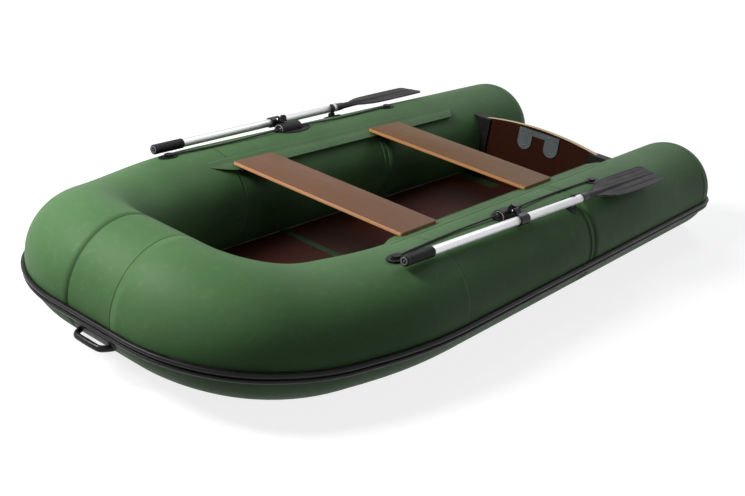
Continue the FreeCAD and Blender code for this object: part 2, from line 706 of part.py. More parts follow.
def make_valves():
    """The inflation valves, on the inboard side of the tubes behind the transom."""
    inward = V(0, -1, 0.35).normalize()
    centre = V(valve_x, half_spacing, tube_z)
    base = rod(centre, centre + inward * (tube_radius + valve_height), valve_radius)
    cap = rod(centre, centre + inward * (tube_radius + valve_height + 6), valve_radius - 8)
    valve = base.fuse(cap).cut(side_tube(stern_start_x, 0, tube_radius + seat_gap))
    save_pair(max(valve.Solids, key=lambda s: s.Volume), "air_valve")


make_tubes()
make_strake()
make_bottom_skin()
make_floor()
make_transom()
make_motor_pads()
make_flaps()
make_seats()
make_rowlock_base()
make_rowlock_yoke()
make_collar()
make_oar()
make_lifelines()
make_eyelets()
make_oar_holder()
make_bow_handle()
make_valves()
print("pin axis", pin_point, lean)
print("collar hinge", hinge_point, oar_axis)
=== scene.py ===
# %% [markdown]
# # Dressing an inflatable rowing boat
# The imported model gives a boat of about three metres: round fabric tubes, a plywood floor and transom, two benches and a pair of oars.
# Every object is in metres, +X points to the bow, +Y to port and +Z up. This lesson gives each piece its real surface.
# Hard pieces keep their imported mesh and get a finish. Cloth, rope and turned pieces are built again here, so that they are smooth and soft.

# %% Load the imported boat
import bpy
import bmesh
import json
import math
from mathutils import Matrix, Vector

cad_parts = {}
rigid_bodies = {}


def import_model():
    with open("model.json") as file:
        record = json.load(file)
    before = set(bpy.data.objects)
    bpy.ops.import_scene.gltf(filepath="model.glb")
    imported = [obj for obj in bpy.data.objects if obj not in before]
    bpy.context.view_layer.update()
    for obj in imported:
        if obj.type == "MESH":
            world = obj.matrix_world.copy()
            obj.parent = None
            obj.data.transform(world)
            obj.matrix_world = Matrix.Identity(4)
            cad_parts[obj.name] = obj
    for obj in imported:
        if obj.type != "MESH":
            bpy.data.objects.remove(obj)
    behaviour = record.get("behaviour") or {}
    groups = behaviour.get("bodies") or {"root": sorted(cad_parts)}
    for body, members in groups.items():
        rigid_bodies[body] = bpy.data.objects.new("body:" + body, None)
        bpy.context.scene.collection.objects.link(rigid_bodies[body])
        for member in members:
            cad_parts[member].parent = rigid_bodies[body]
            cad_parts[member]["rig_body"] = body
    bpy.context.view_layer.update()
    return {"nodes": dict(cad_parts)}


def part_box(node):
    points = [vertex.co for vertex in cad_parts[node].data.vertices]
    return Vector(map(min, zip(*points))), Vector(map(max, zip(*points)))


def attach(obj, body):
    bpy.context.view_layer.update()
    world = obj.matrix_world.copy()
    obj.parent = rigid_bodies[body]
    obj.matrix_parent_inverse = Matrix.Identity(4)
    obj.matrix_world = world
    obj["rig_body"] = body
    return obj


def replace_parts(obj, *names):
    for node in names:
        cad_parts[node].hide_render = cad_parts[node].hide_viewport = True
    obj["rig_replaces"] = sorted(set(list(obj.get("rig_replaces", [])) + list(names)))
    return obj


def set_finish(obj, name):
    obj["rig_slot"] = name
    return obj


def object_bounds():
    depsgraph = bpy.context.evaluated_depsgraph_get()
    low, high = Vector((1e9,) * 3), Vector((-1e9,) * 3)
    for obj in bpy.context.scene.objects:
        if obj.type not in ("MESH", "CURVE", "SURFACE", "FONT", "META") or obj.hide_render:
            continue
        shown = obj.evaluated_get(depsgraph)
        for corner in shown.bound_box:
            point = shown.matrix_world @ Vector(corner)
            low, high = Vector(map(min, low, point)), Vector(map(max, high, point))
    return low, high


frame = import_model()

nodes = frame["nodes"]
MM = 0.001

# %% [markdown]
# ## Camera
# The boat is seen from high on its port bow, and the camera leans a little. The leaning is built from the sight line:
# `aside` and `above` are the picture's right and up before the camera is rolled about that line.

# %% Camera
sight_yaw, sight_pitch, camera_roll = (math.radians(a) for a in (214.22, -22.99, 9.14))
sight = Vector((math.cos(sight_pitch) * math.cos(sight_yaw), math.cos(sight_pitch) * math.sin(sight_yaw),
                math.sin(sight_pitch)))
aside = sight.cross(Vector((0, 0, 1))).normalized()
above = aside.cross(sight)
right = aside * math.cos(camera_roll) + above * math.sin(camera_roll)
up = above * math.cos(camera_roll) - aside * math.sin(camera_roll)
camera_data = bpy.data.cameras.new("camera")
camera_data.lens = 54.0
camera_data.sensor_width = 36.0
camera = bpy.data.objects.new("camera", camera_data)
camera.matrix_world = Matrix((
    (right.x, up.x, -sight.x, 3.302), (right.y, up.y, -sight.y, 2.13),
    (right.z, up.z, -sight.z, 1.686), (0, 0, 0, 1)))
bpy.context.scene.collection.objects.link(camera)
bpy.context.scene.camera = camera
print("camera height", round(camera.location.z, 3))

# %% [markdown]
# ## Helpers for meshes
# Most soft pieces are a section carried along a line. `swept` joins rows of points into a grid of quads, closes the ends and
# writes a UV map in metres, so that a weave keeps its size. `put` makes the object, and `starboard_twin` mirrors a port piece.

# %% Mesh helpers
def put(name, verts, faces, finish, body, uvs=None, smooth=True, sharp_angle=None):
    mesh = bpy.data.meshes.new(name)
    mesh.from_pydata([tuple(v) for v in verts], [], faces)
    if uvs:
        layer = mesh.uv_layers.new(name="UVMap")
        for loop in mesh.loops:
            layer.data[loop.index].uv = uvs[loop.vertex_index]
    mesh.materials.append(finish)
    if smooth:
        mesh.shade_smooth()
    if sharp_angle:
        mesh.set_sharp_from_angle(angle=math.radians(sharp_angle))
    piece = bpy.data.objects.new(name, mesh)
    bpy.context.scene.collection.objects.link(piece)
    if body:
        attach(piece, body)
    return piece


def swept(rows, round_section=True, caps=(True, True)):
    """Faces, points and UVs of a tube or strip through rows of points. A round section has its first point repeated last."""
    count = len(rows[0])
    verts, uvs, faces = [], [], []
    along = 0.0
    for i, row in enumerate(rows):
        if i:
            along += (sum(row, Vector()) / count - sum(rows[i - 1], Vector()) / count).length
        around = 0.0
        for j, point in enumerate(row):
            if j:
                around += (point - row[j - 1]).length
            verts.append(point)
            uvs.append((along, around))
    for i in range(len(rows) - 1):
        for j in range(count - 1):
            a = i * count + j
            faces.append((a, a + 1, a + count + 1, a + count))
    for end, wanted in zip((0, len(rows) - 1), caps):
        if wanted:
            ring = [end * count + j for j in range(count - 1 if round_section else count)]
            faces.append(tuple(reversed(ring)) if end == 0 else tuple(ring))
    return verts, faces, uvs


def tidy(piece, merge=1e-6, outward=True):
    """Merges doubles and turns the faces outwards."""
    work = bmesh.new()
    work.from_mesh(piece.data)
    bmesh.ops.remove_doubles(work, verts=work.verts, dist=merge)
    if outward:
        bmesh.ops.recalc_face_normals(work, faces=work.faces)
    work.to_mesh(piece.data)
    work.free()
    return piece


def starboard_twin(piece, body=None, name=None):
    mesh = piece.data.copy()
    mesh.transform(Matrix.Diagonal((1, -1, 1, 1)))
    mesh.flip_normals()
    twin = bpy.data.objects.new(name or piece.name.replace("port", "starboard"), mesh)
    twin.data.name = twin.name
    bpy.context.scene.collection.objects.link(twin)
    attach(twin, body or piece["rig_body"].replace("port", "starboard"))
    return twin


def triangles(piece):
    piece.data.calc_loop_triangles()
    return len(piece.data.loop_triangles)


# %% [markdown]
# ## Shader groups
# Three effects come back in many finishes. `weave` is the cross of fine threads that shows through a coating, `mottle` is slow
# change of tone by noise, and `scuffs` are thin scratches. Each is a node group with named sockets, placed where it is needed.

# %% Shader groups
def new_group(name, inputs, outputs):
    group = bpy.data.node_groups.new(name, "ShaderNodeTree")
    for label, kind, value in inputs:
        socket = group.interface.new_socket(name=label, in_out="INPUT", socket_type=kind)
        if value is not None:
            socket.default_value = value
    for label, kind in outputs:
        group.interface.new_socket(name=label, in_out="OUTPUT", socket_type=kind)
    return group, group.nodes.new("NodeGroupInput"), group.nodes.new("NodeGroupOutput")


def math_node(tree, operation, a, b=None, c=None):
    node = tree.nodes.new("ShaderNodeMath")
    node.operation = operation
    for slot, value in zip(node.inputs, (a, b, c)):
        if value is None:
            continue
        if isinstance(value, (int, float)):
            slot.default_value = value
        else:
            tree.links.new(value, slot)
    return node.outputs[0]


weave_group, g_in, g_out = new_group(
    "weave", [("Vector", "NodeSocketVector", None), ("Threads per metre", "NodeSocketFloat", 900.0)],
    [("Height", "NodeSocketFloat")])
split = weave_group.nodes.new("ShaderNodeSeparateXYZ")
weave_group.links.new(g_in.outputs["Vector"], split.inputs[0])
waves = []
for axis in ("X", "Y"):
    phase = math_node(weave_group, "MULTIPLY", split.outputs[axis], g_in.outputs["Threads per metre"])
    waves.append(math_node(weave_group, "SINE", math_node(weave_group, "MULTIPLY", phase, 2 * math.pi)))
weave_group.links.new(math_node(weave_group, "MULTIPLY", waves[0], waves[1]), g_out.inputs["Height"])

mottle_group, g_in, g_out = new_group(
    "mottle", [("Vector", "NodeSocketVector", None), ("Scale", "NodeSocketFloat", 4.0), ("Low", "NodeSocketFloat", 0.35),
               ("High", "NodeSocketFloat", 0.65)], [("Factor", "NodeSocketFloat")])
noise = mottle_group.nodes.new("ShaderNodeTexNoise")
noise.inputs["Detail"].default_value = 3.0
spread = mottle_group.nodes.new("ShaderNodeMapRange")
mottle_group.links.new(g_in.outputs["Vector"], noise.inputs["Vector"])
mottle_group.links.new(g_in.outputs["Scale"], noise.inputs["Scale"])
mottle_group.links.new(noise.outputs["Fac"], spread.inputs["Value"])
mottle_group.links.new(g_in.outputs["Low"], spread.inputs["From Min"])
mottle_group.links.new(g_in.outputs["High"], spread.inputs["From Max"])
mottle_group.links.new(spread.outputs["Result"], g_out.inputs["Factor"])

scuff_group, g_in, g_out = new_group(
    "scuffs", [("Vector", "NodeSocketVector", None), ("Stretch", "NodeSocketVector", (2.0, 120.0, 120.0))],
    [("Mask", "NodeSocketFloat")])
stretch = scuff_group.nodes.new("ShaderNodeMapping")
streak = scuff_group.nodes.new("ShaderNodeTexNoise")
streak.inputs["Scale"].default_value = 3.0
streak.inputs["Detail"].default_value = 4.0
edge = scuff_group.nodes.new("ShaderNodeMapRange")
edge.inputs["From Min"].default_value = 0.58
edge.inputs["From Max"].default_value = 0.75
scuff_group.links.new(g_in.outputs["Vector"], stretch.inputs["Vector"])
scuff_group.links.new(g_in.outputs["Stretch"], stretch.inputs["Scale"])
scuff_group.links.new(stretch.outputs["Vector"], streak.inputs["Vector"])
scuff_group.links.new(streak.outputs["Fac"], edge.inputs["Value"])
scuff_group.links.new(edge.outputs["Result"], g_out.inputs["Mask"])
print("groups:", [g.name for g in bpy.data.node_groups])

# %% [markdown]
# ## Finishes
# A finish starts from one base: a Principled shader, two tones mixed by mottle, and a bump. Constants stay on the shader's own
# sockets. Each material then adds what its surface has, such as threads, grain or brushed lines.

# %% Finish helpers
def tone(hex_code):
    """A colour written as it looks on screen, as linear light."""
    values = [int(hex_code[i:i + 2], 16) / 255 for i in (0, 2, 4)]
    return tuple(((v + 0.055) / 1.055) ** 2.4 if v > 0.04045 else v / 12.92 for v in values) + (1.0,)


class Finish:
    """A material under construction: its tree, its shader, and the vector that patterns read."""

    def __init__(self, name, source="Object", **sockets):
        self.material = bpy.data.materials.new(name)
        self.material.use_nodes = True
        self.tree = self.material.node_tree
        self.shader = next(n for n in self.tree.nodes if n.type == "BSDF_PRINCIPLED")
        coordinates = self.tree.nodes.new("ShaderNodeTexCoord")
        self.vector = coordinates.outputs[source]
        self.object_vector = coordinates.outputs["Object"]
        for label, value in sockets.items():
            self.shader.inputs[label.replace("_", " ")].default_value = value

    def group(self, group, vector=None, **values):
        node = self.tree.nodes.new("ShaderNodeGroup")
        node.node_tree = group
        self.tree.links.new(vector or self.vector, node.inputs["Vector"])
        for label, value in values.items():
            node.inputs[label.replace("_", " ")].default_value = value
        return node.outputs[0]

    def mix(self, factor, a, b):
        node = self.tree.nodes.new("ShaderNodeMix")
        node.data_type = "RGBA"
        for slot, value in ((node.inputs[0], factor), (node.inputs[6], a), (node.inputs[7], b)):
            if isinstance(value, (tuple, float, int)):
                slot.default_value = value
            else:
                self.tree.links.new(value, slot)
        return node.outputs[2]

    def colour(self, value):
        self.tree.links.new(value, self.shader.inputs["Base Color"])

    def roughness(self, factor, low, high):
        node = self.tree.nodes.new("ShaderNodeMapRange")
        node.inputs["To Min"].default_value = low
        node.inputs["To Max"].default_value = high
        self.tree.links.new(factor, node.inputs["Value"])
        self.tree.links.new(node.outputs[0], self.shader.inputs["Roughness"])

    def bump(self, height, distance, strength=1.0):
        node = self.tree.nodes.new("ShaderNodeBump")
        node.inputs["Distance"].default_value = distance
        node.inputs["Strength"].default_value = strength
        self.tree.links.new(height, node.inputs["Height"])
        previous = self.shader.inputs["Normal"].links
        if previous:
            self.tree.links.new(previous[0].from_socket, node.inputs["Normal"])
        self.tree.links.new(node.outputs[0], self.shader.inputs["Normal"])

    def texture(self, kind, scale, vector=None, stretch=None):
        node = self.tree.nodes.new(kind)
        node.inputs["Scale"].default_value = scale
        start = vector or self.vector
        if stretch:
            mapping = self.tree.nodes.new("ShaderNodeMapping")
            mapping.inputs["Scale"].default_value = stretch
            self.tree.links.new(start, mapping.inputs["Vector"])
            start = mapping.outputs[0]
        self.tree.links.new(start, node.inputs["Vector"])
        return node

    def split(self, vector=None):
        node = self.tree.nodes.new("ShaderNodeSeparateXYZ")
        self.tree.links.new(vector or self.vector, node.inputs[0])
        return node.outputs

    def line_mask(self, value, centre, half_width, soft):
        """1 on a line where the value is near its centre, fading to 0."""
        away = math_node(self.tree, "ABSOLUTE", math_node(self.tree, "SUBTRACT", value, centre))
        node = self.tree.nodes.new("ShaderNodeMapRange")
        node.inputs["From Min"].default_value = half_width + soft
        node.inputs["From Max"].default_value = half_width
        self.tree.links.new(away, node.inputs["Value"])
        return node.outputs[0]


# %% [markdown]
# ## Coated cloth
# The tubes are polyester cloth coated with soft plastic on both sides: a satin surface with a faint weave, slow changes of tone
# and thin dark lines where panels overlap. The attribute `seam` is painted on the mesh beside each joint. A long seam runs
# inside each tube at half height, so it is a line at a fixed distance round the section, which the UV map gives.

# %% Cloth finishes
def cloth(name, light, dark, rough=(0.50, 0.60), long_seam=None, seams=False):
    f = Finish(name, source="UV", Specular_IOR_Level=0.12, IOR=1.5)
    patches = f.group(mottle_group, vector=f.object_vector, Scale=2.2, Low=0.3, High=0.7)
    colour = f.mix(patches, tone(light), tone(dark))
    cream = f.group(mottle_group, vector=f.object_vector, Scale=38.0, Low=0.56, High=0.8)
    soft_spot = math_node(f.tree, "MULTIPLY", cream, 0.12)
    colour = f.mix(soft_spot, colour, tone("6d8a62"))
    if seams:
        attribute = f.tree.nodes.new("ShaderNodeAttribute")
        attribute.attribute_name = "seam"
        mask = attribute.outputs["Fac"]
        if long_seam:
            line = f.line_mask(f.split()[1], long_seam, 0.0012, 0.0012)
            mask = math_node(f.tree, "MAXIMUM", mask, math_node(f.tree, "MULTIPLY", line, 0.35))
        colour = f.mix(mask, colour, tone("14220f"))
        f.bump(math_node(f.tree, "SUBTRACT", 1.0, mask), 0.0006, 0.6)
    f.colour(colour)
    f.roughness(patches, *rough)
    f.bump(f.group(weave_group, Threads_per_metre=620.0), 0.00012, 0.45)
    ripple = f.texture("ShaderNodeTexNoise", 9.0, vector=f.object_vector)
    f.bump(ripple.outputs["Fac"], 0.004, 0.12)
    return f.material


tube_girth = 2 * math.pi * 191.5 * MM
tube_cloth = cloth("coated cloth green", "42613d", "3a5735", long_seam=tube_girth * 0.752, seams=True)
trim_cloth = cloth("coated cloth trim", "435e3d", "3b5536")
floor_cloth = cloth("coated cloth bottom", "24381f", "1e311a", rough=(0.5, 0.6))
print("cloth finishes:", tube_cloth.name, trim_cloth.name, floor_cloth.name)

# %% [markdown]
# ## Rubber, plastic and metal
# Black rubber is matt with a greyish bloom, moulded plastic is smoother with a fine grain, and aluminium tube is drawn, so its
# scratches run along it. The screws are plain bright steel.

# %% Rubber, plastic and metal finishes
def moulded(name, light, dark, rough, grain=900.0, depth=0.00008, **sockets):
    f = Finish(name, Specular_IOR_Level=0.16, **sockets)
    bloom = f.group(mottle_group, Scale=14.0, Low=0.35, High=0.75)
    f.colour(f.mix(bloom, tone(dark), tone(light)))
    f.roughness(bloom, *rough)
    f.bump(f.texture("ShaderNodeTexNoise", grain).outputs["Fac"], depth, 0.5)
    return f.material


def drawn_metal(name, light, dark, rough, stretch):
    f = Finish(name, Metallic=1.0)
    lines = f.texture("ShaderNodeTexNoise", 8.0, stretch=stretch)
    lines.inputs["Detail"].default_value = 5.0
    f.colour(f.mix(lines.outputs["Fac"], tone(light), tone(dark)))
    f.roughness(f.group(scuff_group, Stretch=stretch), *rough)
    f.bump(lines.outputs["Fac"], 0.00003, 0.4)
    return f.material


rubber = moulded("black rubber", "161617", "09090a", (0.45, 0.62))
strake_rubber = moulded("strake rubber", "19191a", "0a0a0b", (0.34, 0.48))
black_plastic = moulded("black moulded plastic", "1b1b1d", "0e0e10", (0.28, 0.42))
blade_plastic = moulded("blade plastic", "151318", "0c0b0e", (0.5, 0.62))
grey_plastic = moulded("grey moulded plastic", "545b5b", "494f50", (0.45, 0.6))
dark_steel = drawn_metal("dark screw steel", "6d6f73", "4c4e52", (0.3, 0.45), (40.0, 40.0, 40.0))
cap_grey = moulded("grip end grey", "5d6166", "474b50", (0.35, 0.5))
aluminium = drawn_metal("drawn aluminium", "e4e4e6", "cfcfd3", (0.42, 0.58), (1.5, 160.0, 160.0))
steel = drawn_metal("bright steel", "d9dade", "b2b4ba", (0.16, 0.3), (40.0, 40.0, 40.0))


# %% [markdown]
# ## Plywood
# Boards are plywood. Their faces carry a stain over fine grain along the board, and their edges show pale layers. The faces'
# direction decides: where the normal lies along the board's thin side it is a face, elsewhere an edge. `thin` is that side.

# %% Plywood finishes
def plywood(name, light, dark, edge_light, edge_dark, thin, grain_axis, layer_pitch, rough=(0.35, 0.55), mesh_print=False):
    f = Finish(name, Specular_IOR_Level=0.12)
    stretch = [26.0, 26.0, 26.0]
    stretch["XYZ".index(grain_axis)] = 1.6
    grain = f.texture("ShaderNodeTexNoise", 6.0, stretch=stretch)
    grain.inputs["Detail"].default_value = 6.0
    grain.inputs["Distortion"].default_value = 0.6
    stain = f.group(mottle_group, Scale=3.5, Low=0.3, High=0.72)
    colour = f.mix(grain.outputs["Fac"], tone(light), tone(dark))
    deeper = math_node(f.tree, "MULTIPLY", stain, 0.35)
    colour = f.mix(deeper, colour, tone(dark))
    layers = f.texture("ShaderNodeTexWave", 1.0)
    layers.bands_direction = thin
    layers.inputs["Scale"].default_value = 0.5 / layer_pitch / math.pi
    layers.inputs["Distortion"].default_value = 0.4
    edge_colour = f.mix(layers.outputs["Fac"], tone(edge_light), tone(edge_dark))
    geometry = f.tree.nodes.new("ShaderNodeNewGeometry")
    facing = math_node(f.tree, "ABSOLUTE", f.split(geometry.outputs["Normal"])["XYZ".index(thin)])
    is_face = math_node(f.tree, "GREATER_THAN", facing, 0.75)
    f.colour(f.mix(is_face, edge_colour, colour))
    f.roughness(grain.outputs["Fac"], *rough)
    f.bump(grain.outputs["Fac"], 0.0003, 0.35)
    if mesh_print:
        f.bump(f.group(weave_group, Threads_per_metre=170.0), 0.0003, 0.5)
    return f.material


bench_bow_ply = plywood("bench plywood brown", "694934", "583c2a", "b78865", "9d6f4d", "Z", "Y", 0.0026)
bench_stern_ply = plywood("bench plywood ochre", "674624", "56391c", "b38258", "98683f", "Z", "Y", 0.0026)
floor_ply = plywood("floor plywood", "37170e", "240e08", "7a5a44", "5f432f", "Z", "Y", 0.002, mesh_print=True)
transom_ply = plywood("transom plywood", "32150b", "200c06", "c9b692", "ab9672", "X", "Y", 0.0026, rough=(0.3, 0.5))
print("finishes:", len(bpy.data.materials))

# %% [markdown]
# ## The line of the tubes
# Port and starboard tubes follow one line: straight from the stern, then three bends, the last of which turns across the bow.
# `boat_line` walks it in short steps and gives the centre and the heading at each step. The cone behind the
# transom shrinks by a rounded rule while its underside stays level with the tube's.

# %% The line of the tubes
tube_radius = 191.5 * MM
half_spacing = 472.0 * MM
cone_start, cone_length, cone_fullness = -1305.0 * MM, 192.0 * MM, 2.5
nose = Vector((1295.0, 0, 238.5)) * MM
band_half = 88.0 * MM
bends = [Vector((732.0, 472.0, 191.5)) * MM, Vector((1078.0, 393.0, 191.5)) * MM, Vector((1295.0, 285.0, 238.5)) * MM]
bend_radii = [1.450, 0.660, 0.225]
seam_xs = (560.0 * MM, -270.0 * MM)


def cone_ring(share):
    radius = tube_radius * max(1 - share ** cone_fullness, 0.0) ** (1 / cone_fullness)
    drop = min((tube_radius - 85.0 * MM) * share ** 2 * 1.1, tube_radius - radius)
    return Vector((cone_start - share * cone_length, half_spacing, tube_radius - drop)), radius


def boat_line(step=0.04, turn_step=math.radians(2.5)):
    """Stations from the first seam ahead of the cone to the band: (centre, heading)."""
    corners = [Vector((cone_start, half_spacing, tube_radius))] + bends + [Vector((nose.x, band_half, nose.z))]
    stations = []
    start = corners[0]
    for before, corner, after, radius in zip(corners, corners[1:], corners[2:], bend_radii):
        a, b = (before - corner).normalized(), (after - corner).normalized()
        turn = math.pi - a.angle(b)
        enter, leave = corner + a * radius * math.tan(turn / 2), corner + b * radius * math.tan(turn / 2)
        hub = corner + (a + b).normalized() * (radius / math.cos(turn / 2))
        run = enter - start
        pieces = max(1, round(run.length / step))
        marks = [start + run * n / pieces for n in range(pieces)]
        for x in seam_xs:
            if start.x < x < enter.x:
                marks.append(Vector((x, half_spacing, tube_radius)))
        stations += [(p, -a) for p in sorted(marks, key=lambda p: (p - start).length)]
        axis = (-a).cross(b).normalized()
        steps = max(2, round(turn / turn_step))
        for n in range(steps):
            spin = Matrix.Rotation(turn * n / steps, 3, axis)
            stations.append((hub + spin @ (enter - hub), spin @ -a))
        start, last = leave, b
    stations += [(start + (corners[-1] - start) * n / 2, last) for n in range(3)]
    return stations


def ring(centre, heading, radius, points=96):
    """Points round a section, from its underside, up the outside, over the top and down the inside."""
    outward = Vector((heading.y, -heading.x, 0)).normalized()
    if outward.dot(Vector((0.2, 1, 0))) < 0:
        outward = -outward
    upward = outward.cross(heading).normalized()
    if upward.z < 0:
        upward = -upward
    rows = []
    for n in range(points + 1):
        angle = 2 * math.pi * (n % points) / points - math.pi / 2
        rows.append(centre + (outward * math.cos(angle) + upward * math.sin(angle)) * radius)
    return rows


line = boat_line()
print("stations:", len(line), "from", tuple(round(c, 3) for c in line[0][0]), "to", tuple(round(c, 3) for c in line[-1][0]))

# %% [markdown]
# ## Tubes
# Each fabric panel is its own piece, because a real boat's panels are glued at these seams. Near a joint the upper panel laps
# over the lower one, so its last 15 mm stand a little proud, and the lap's edge is a thin dark line held in the `seam` attribute.

# %% Tubes
LAP, PROUD = 0.015, 0.00015


def tube_panel(name, stations, node, lap_start=0.0, lap_end=0.0):
    """stations: list of (centre, heading, radius). An end whose lap is over 0 laps over, with a line of that darkness."""
    def between(a, b, distance):
        share = distance / (b[0] - a[0]).length
        return a[0].lerp(b[0], share), a[1].lerp(b[1], share).normalized(), a[2] + (b[2] - a[2]) * share

    marks = [(s, 0.0, 0.0) for s in stations]
    if lap_start:
        a, b = stations[0], stations[1]
        marks = [((a[0], a[1], a[2]), PROUD, lap_start), (between(a, b, 0.0026), PROUD, lap_start), (between(a, b, 0.0040), PROUD, 0.0),
                 (between(a, b, LAP), PROUD, 0.0), (between(a, b, LAP + 0.010), 0.0, 0.0)] + marks[1:]
    if lap_end:
        a, b = stations[-1], stations[-2]
        marks = marks[:-1] + [(between(a, b, LAP + 0.010), 0.0, 0.0), (between(a, b, LAP), PROUD, 0.0),
                              (between(a, b, 0.0040), PROUD, 0.0), (between(a, b, 0.0026), PROUD, lap_end),
                              ((a[0], a[1], a[2]), PROUD, lap_end)]
    rows = [ring(s[0], s[1], s[2] + proud) for s, proud, dark in marks]
    verts, faces, uvs = swept(rows)
    panel = put(name, verts, faces, tube_cloth, None, uvs)
    layer = panel.data.attributes.new("seam", "FLOAT", "POINT")
    layer.data.foreach_set("value", [dark for s, proud, dark in marks for point in range(len(rows[0]))])
    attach(panel, "hull")
    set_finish(panel, "green_fabric")
    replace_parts(panel, node)
    if node.endswith("_port"):
        twin = starboard_twin(panel)
        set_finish(twin, "green_fabric")
        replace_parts(twin, node.replace("port", "starboard"))
    return panel


def along(x0, x1):
    return [(p, h, tube_radius) for p, h in line if x0 - 1e-6 <= p.x <= x1 + 1e-6]


tube_panel("tube_rear_port", along(cone_start, seam_xs[1]), "side_tube_rear_port", 0.25, 0.0)
tube_panel("tube_front_port", along(seam_xs[1], seam_xs[0]), "side_tube_front_port", 0.2, 0.2)
tube_panel("tube_bow_port", along(seam_xs[0], 9.0), "bow_tube_port")
shares = [1 - (1 - n / 22) ** 1.7 for n in range(23)]
cone_rings = []
for share in reversed(shares):
    centre, radius = cone_ring(min(share, 0.9985))
    cone_rings.append((centre, Vector((1, 0, 0)), max(radius, 0.004)))
tube_panel("tube_cone_port", cone_rings, "stern_cone_port")
band = [(Vector((nose.x, band_half * (1 - n / 3), nose.z)), Vector((0, -1, 0)), tube_radius) for n in range(7)]
centre_panel = tube_panel("tube_bow_band", band, "bow_centre_tube", 0.45, 0.45)
print("tube panel triangles:", triangles(centre_panel), "box", [round(v, 3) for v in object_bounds()[1]])

# %% [markdown]
# ## Rubbing strake
# A black extrusion with two round ribs is glued all round the outside and rises a little at the bow. Its section is drawn as distances from the
# cloth at given heights, so it turns and narrows with the tube, and the ribs' roundness is in the section's points.

# %% Rubbing strake
strake_height = 156.0
strake_section = []
for n in range(5):
    strake_section.append((-20.0, 1.3 + 6.2 * n / 4))
for rib in (-10.5, 10.5):
    for n in range(9):
        angle = math.pi * (1 - n / 8)
        strake_section.append((rib + 7.4 * math.cos(angle), 7.8 + 6.4 * math.sin(angle) ** 0.8))
for n in range(5):
    strake_section.append((20.0, 7.5 - 6.2 * n / 4))


def strake_row(centre, heading, radius):
    outward = Vector((heading.y, -heading.x, 0)).normalized()
    if outward.dot(Vector((0.2, 1, 0))) < 0:
        outward = -outward
    row = []
    level = strake_height + 0.6 * max(centre.z / MM - 191.5, 0.0)
    for dz, away in strake_section:
        z = (level + dz) * MM
        reach = math.sqrt(max(radius ** 2 - (z - centre.z) ** 2, 1e-8)) + away * MM
        row.append(Vector((centre.x, centre.y, z)) + outward * reach)
    return row + [row[0].copy()]


strake_rows = []
for n in range(24, 0, -1):
    centre, radius = cone_ring(0.9 * n / 24)
    strake_rows.append(strake_row(centre, Vector((1, 0, 0)), radius))
strake_rows += [strake_row(p, h, tube_radius) for p, h in line]
strake_rows += [[Vector((p.x, -p.y, p.z)) for p in row] for row in reversed(strake_rows)]
verts, faces, uvs = swept(strake_rows)
strake = put("rubbing_strake", verts, faces, strake_rubber, "hull", uvs, sharp_angle=50)
tidy(strake)
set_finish(strake, "black_rubber")
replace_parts(strake, "rub_strake")
print("strake triangles:", triangles(strake))

# %% [markdown]
# ## Bottom cloth
# Between the tubes the bottom is one sheet of cloth. It is flat under the boards and rises with the tubes at the bow. Rows run
# across the boat from tube to tube, and the cloth sags a little between its glued edges ahead of the floor.

# %% Bottom cloth
inset = math.sqrt(191.5 ** 2 - (50.0 - 191.5) ** 2) * MM + 0.0005
rise = [(-2.0, 48.0), (0.960, 48.0), (1.035, 51.5), (1.113, 65.5), (1.150, 79.5), (1.200, 96.0)]


def bottom_height(x):
    for (x0, z0), (x1, z1) in zip(rise, rise[1:]):
        if x <= x1:
            return (z0 + (z1 - z0) * (x - x0) / (x1 - x0)) * MM
    return rise[-1][1] * MM


edge_line = [Vector((-1.015, half_spacing - inset, 0))]
for point, heading in line:
    inward = Vector((-heading.y, heading.x, 0)).normalized()
    if inward.y > 0:
        inward = -inward
    spot = point + inward * inset
    if -1.0 < spot.x < 1.1655:
        edge_line.append(Vector((spot.x, spot.y, 0)))
edge_line.append(Vector((nose.x - inset, edge_line[-1].y * 0.93, 0)))
upper, lower = [], []
for spot in edge_line:
    base = bottom_height(spot.x)
    row = []
    for n in range(25):
        share = 2 * n / 24 - 1
        sag = 0.003 * (1 - share ** 2) * min(max((spot.x - 0.92) / 0.1, 0.0), 1.0)
        row.append(Vector((spot.x, spot.y * share, base - sag)))
    lower.append(row)
    upper.append([p + Vector((0, 0, 0.002)) for p in row])
loops = [low_row + list(reversed(up_row)) + [low_row[0].copy()] for low_row, up_row in zip(lower, upper)]
verts, faces, uvs = swept(loops)
bottom = put("bottom_cloth", verts, faces, floor_cloth, "hull", uvs, sharp_angle=60)
tidy(bottom)
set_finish(bottom, "green_fabric")
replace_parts(bottom, "bottom_skin")
print("bottom triangles:", triangles(bottom))

# %% [markdown]
# ## Hinge strips
# The floorboards are joined by cloth strips, so that the floor folds. A strip is pressed over the gap and stands a little proud
# along its edges, where the glue ends. The same sheet is made twice, one for each joint.

# %% Hinge strips
def strip_across(name, x, half_width, half_length):
    rows = []
    for n in range(37):
        y = half_length * (2 * n / 36 - 1)
        row = []
        for m in range(13):
            share = 2 * m / 12 - 1
            dip = 0.0008 * math.exp(-(share * 3) ** 2)
            crown = 0.0015 * (1 - share ** 8) ** 0.5
            row.append(Vector((x + half_width * share, y, 0.0590 + crown - dip)))
        row += [Vector((x + half_width, y, 0.0590)), Vector((x - half_width, y, 0.0590))]
        rows.append(row + [row[0].copy()])
    verts, faces, uvs = swept(rows)
    return put(name, verts, faces, floor_cloth, "hull", uvs, sharp_angle=60)


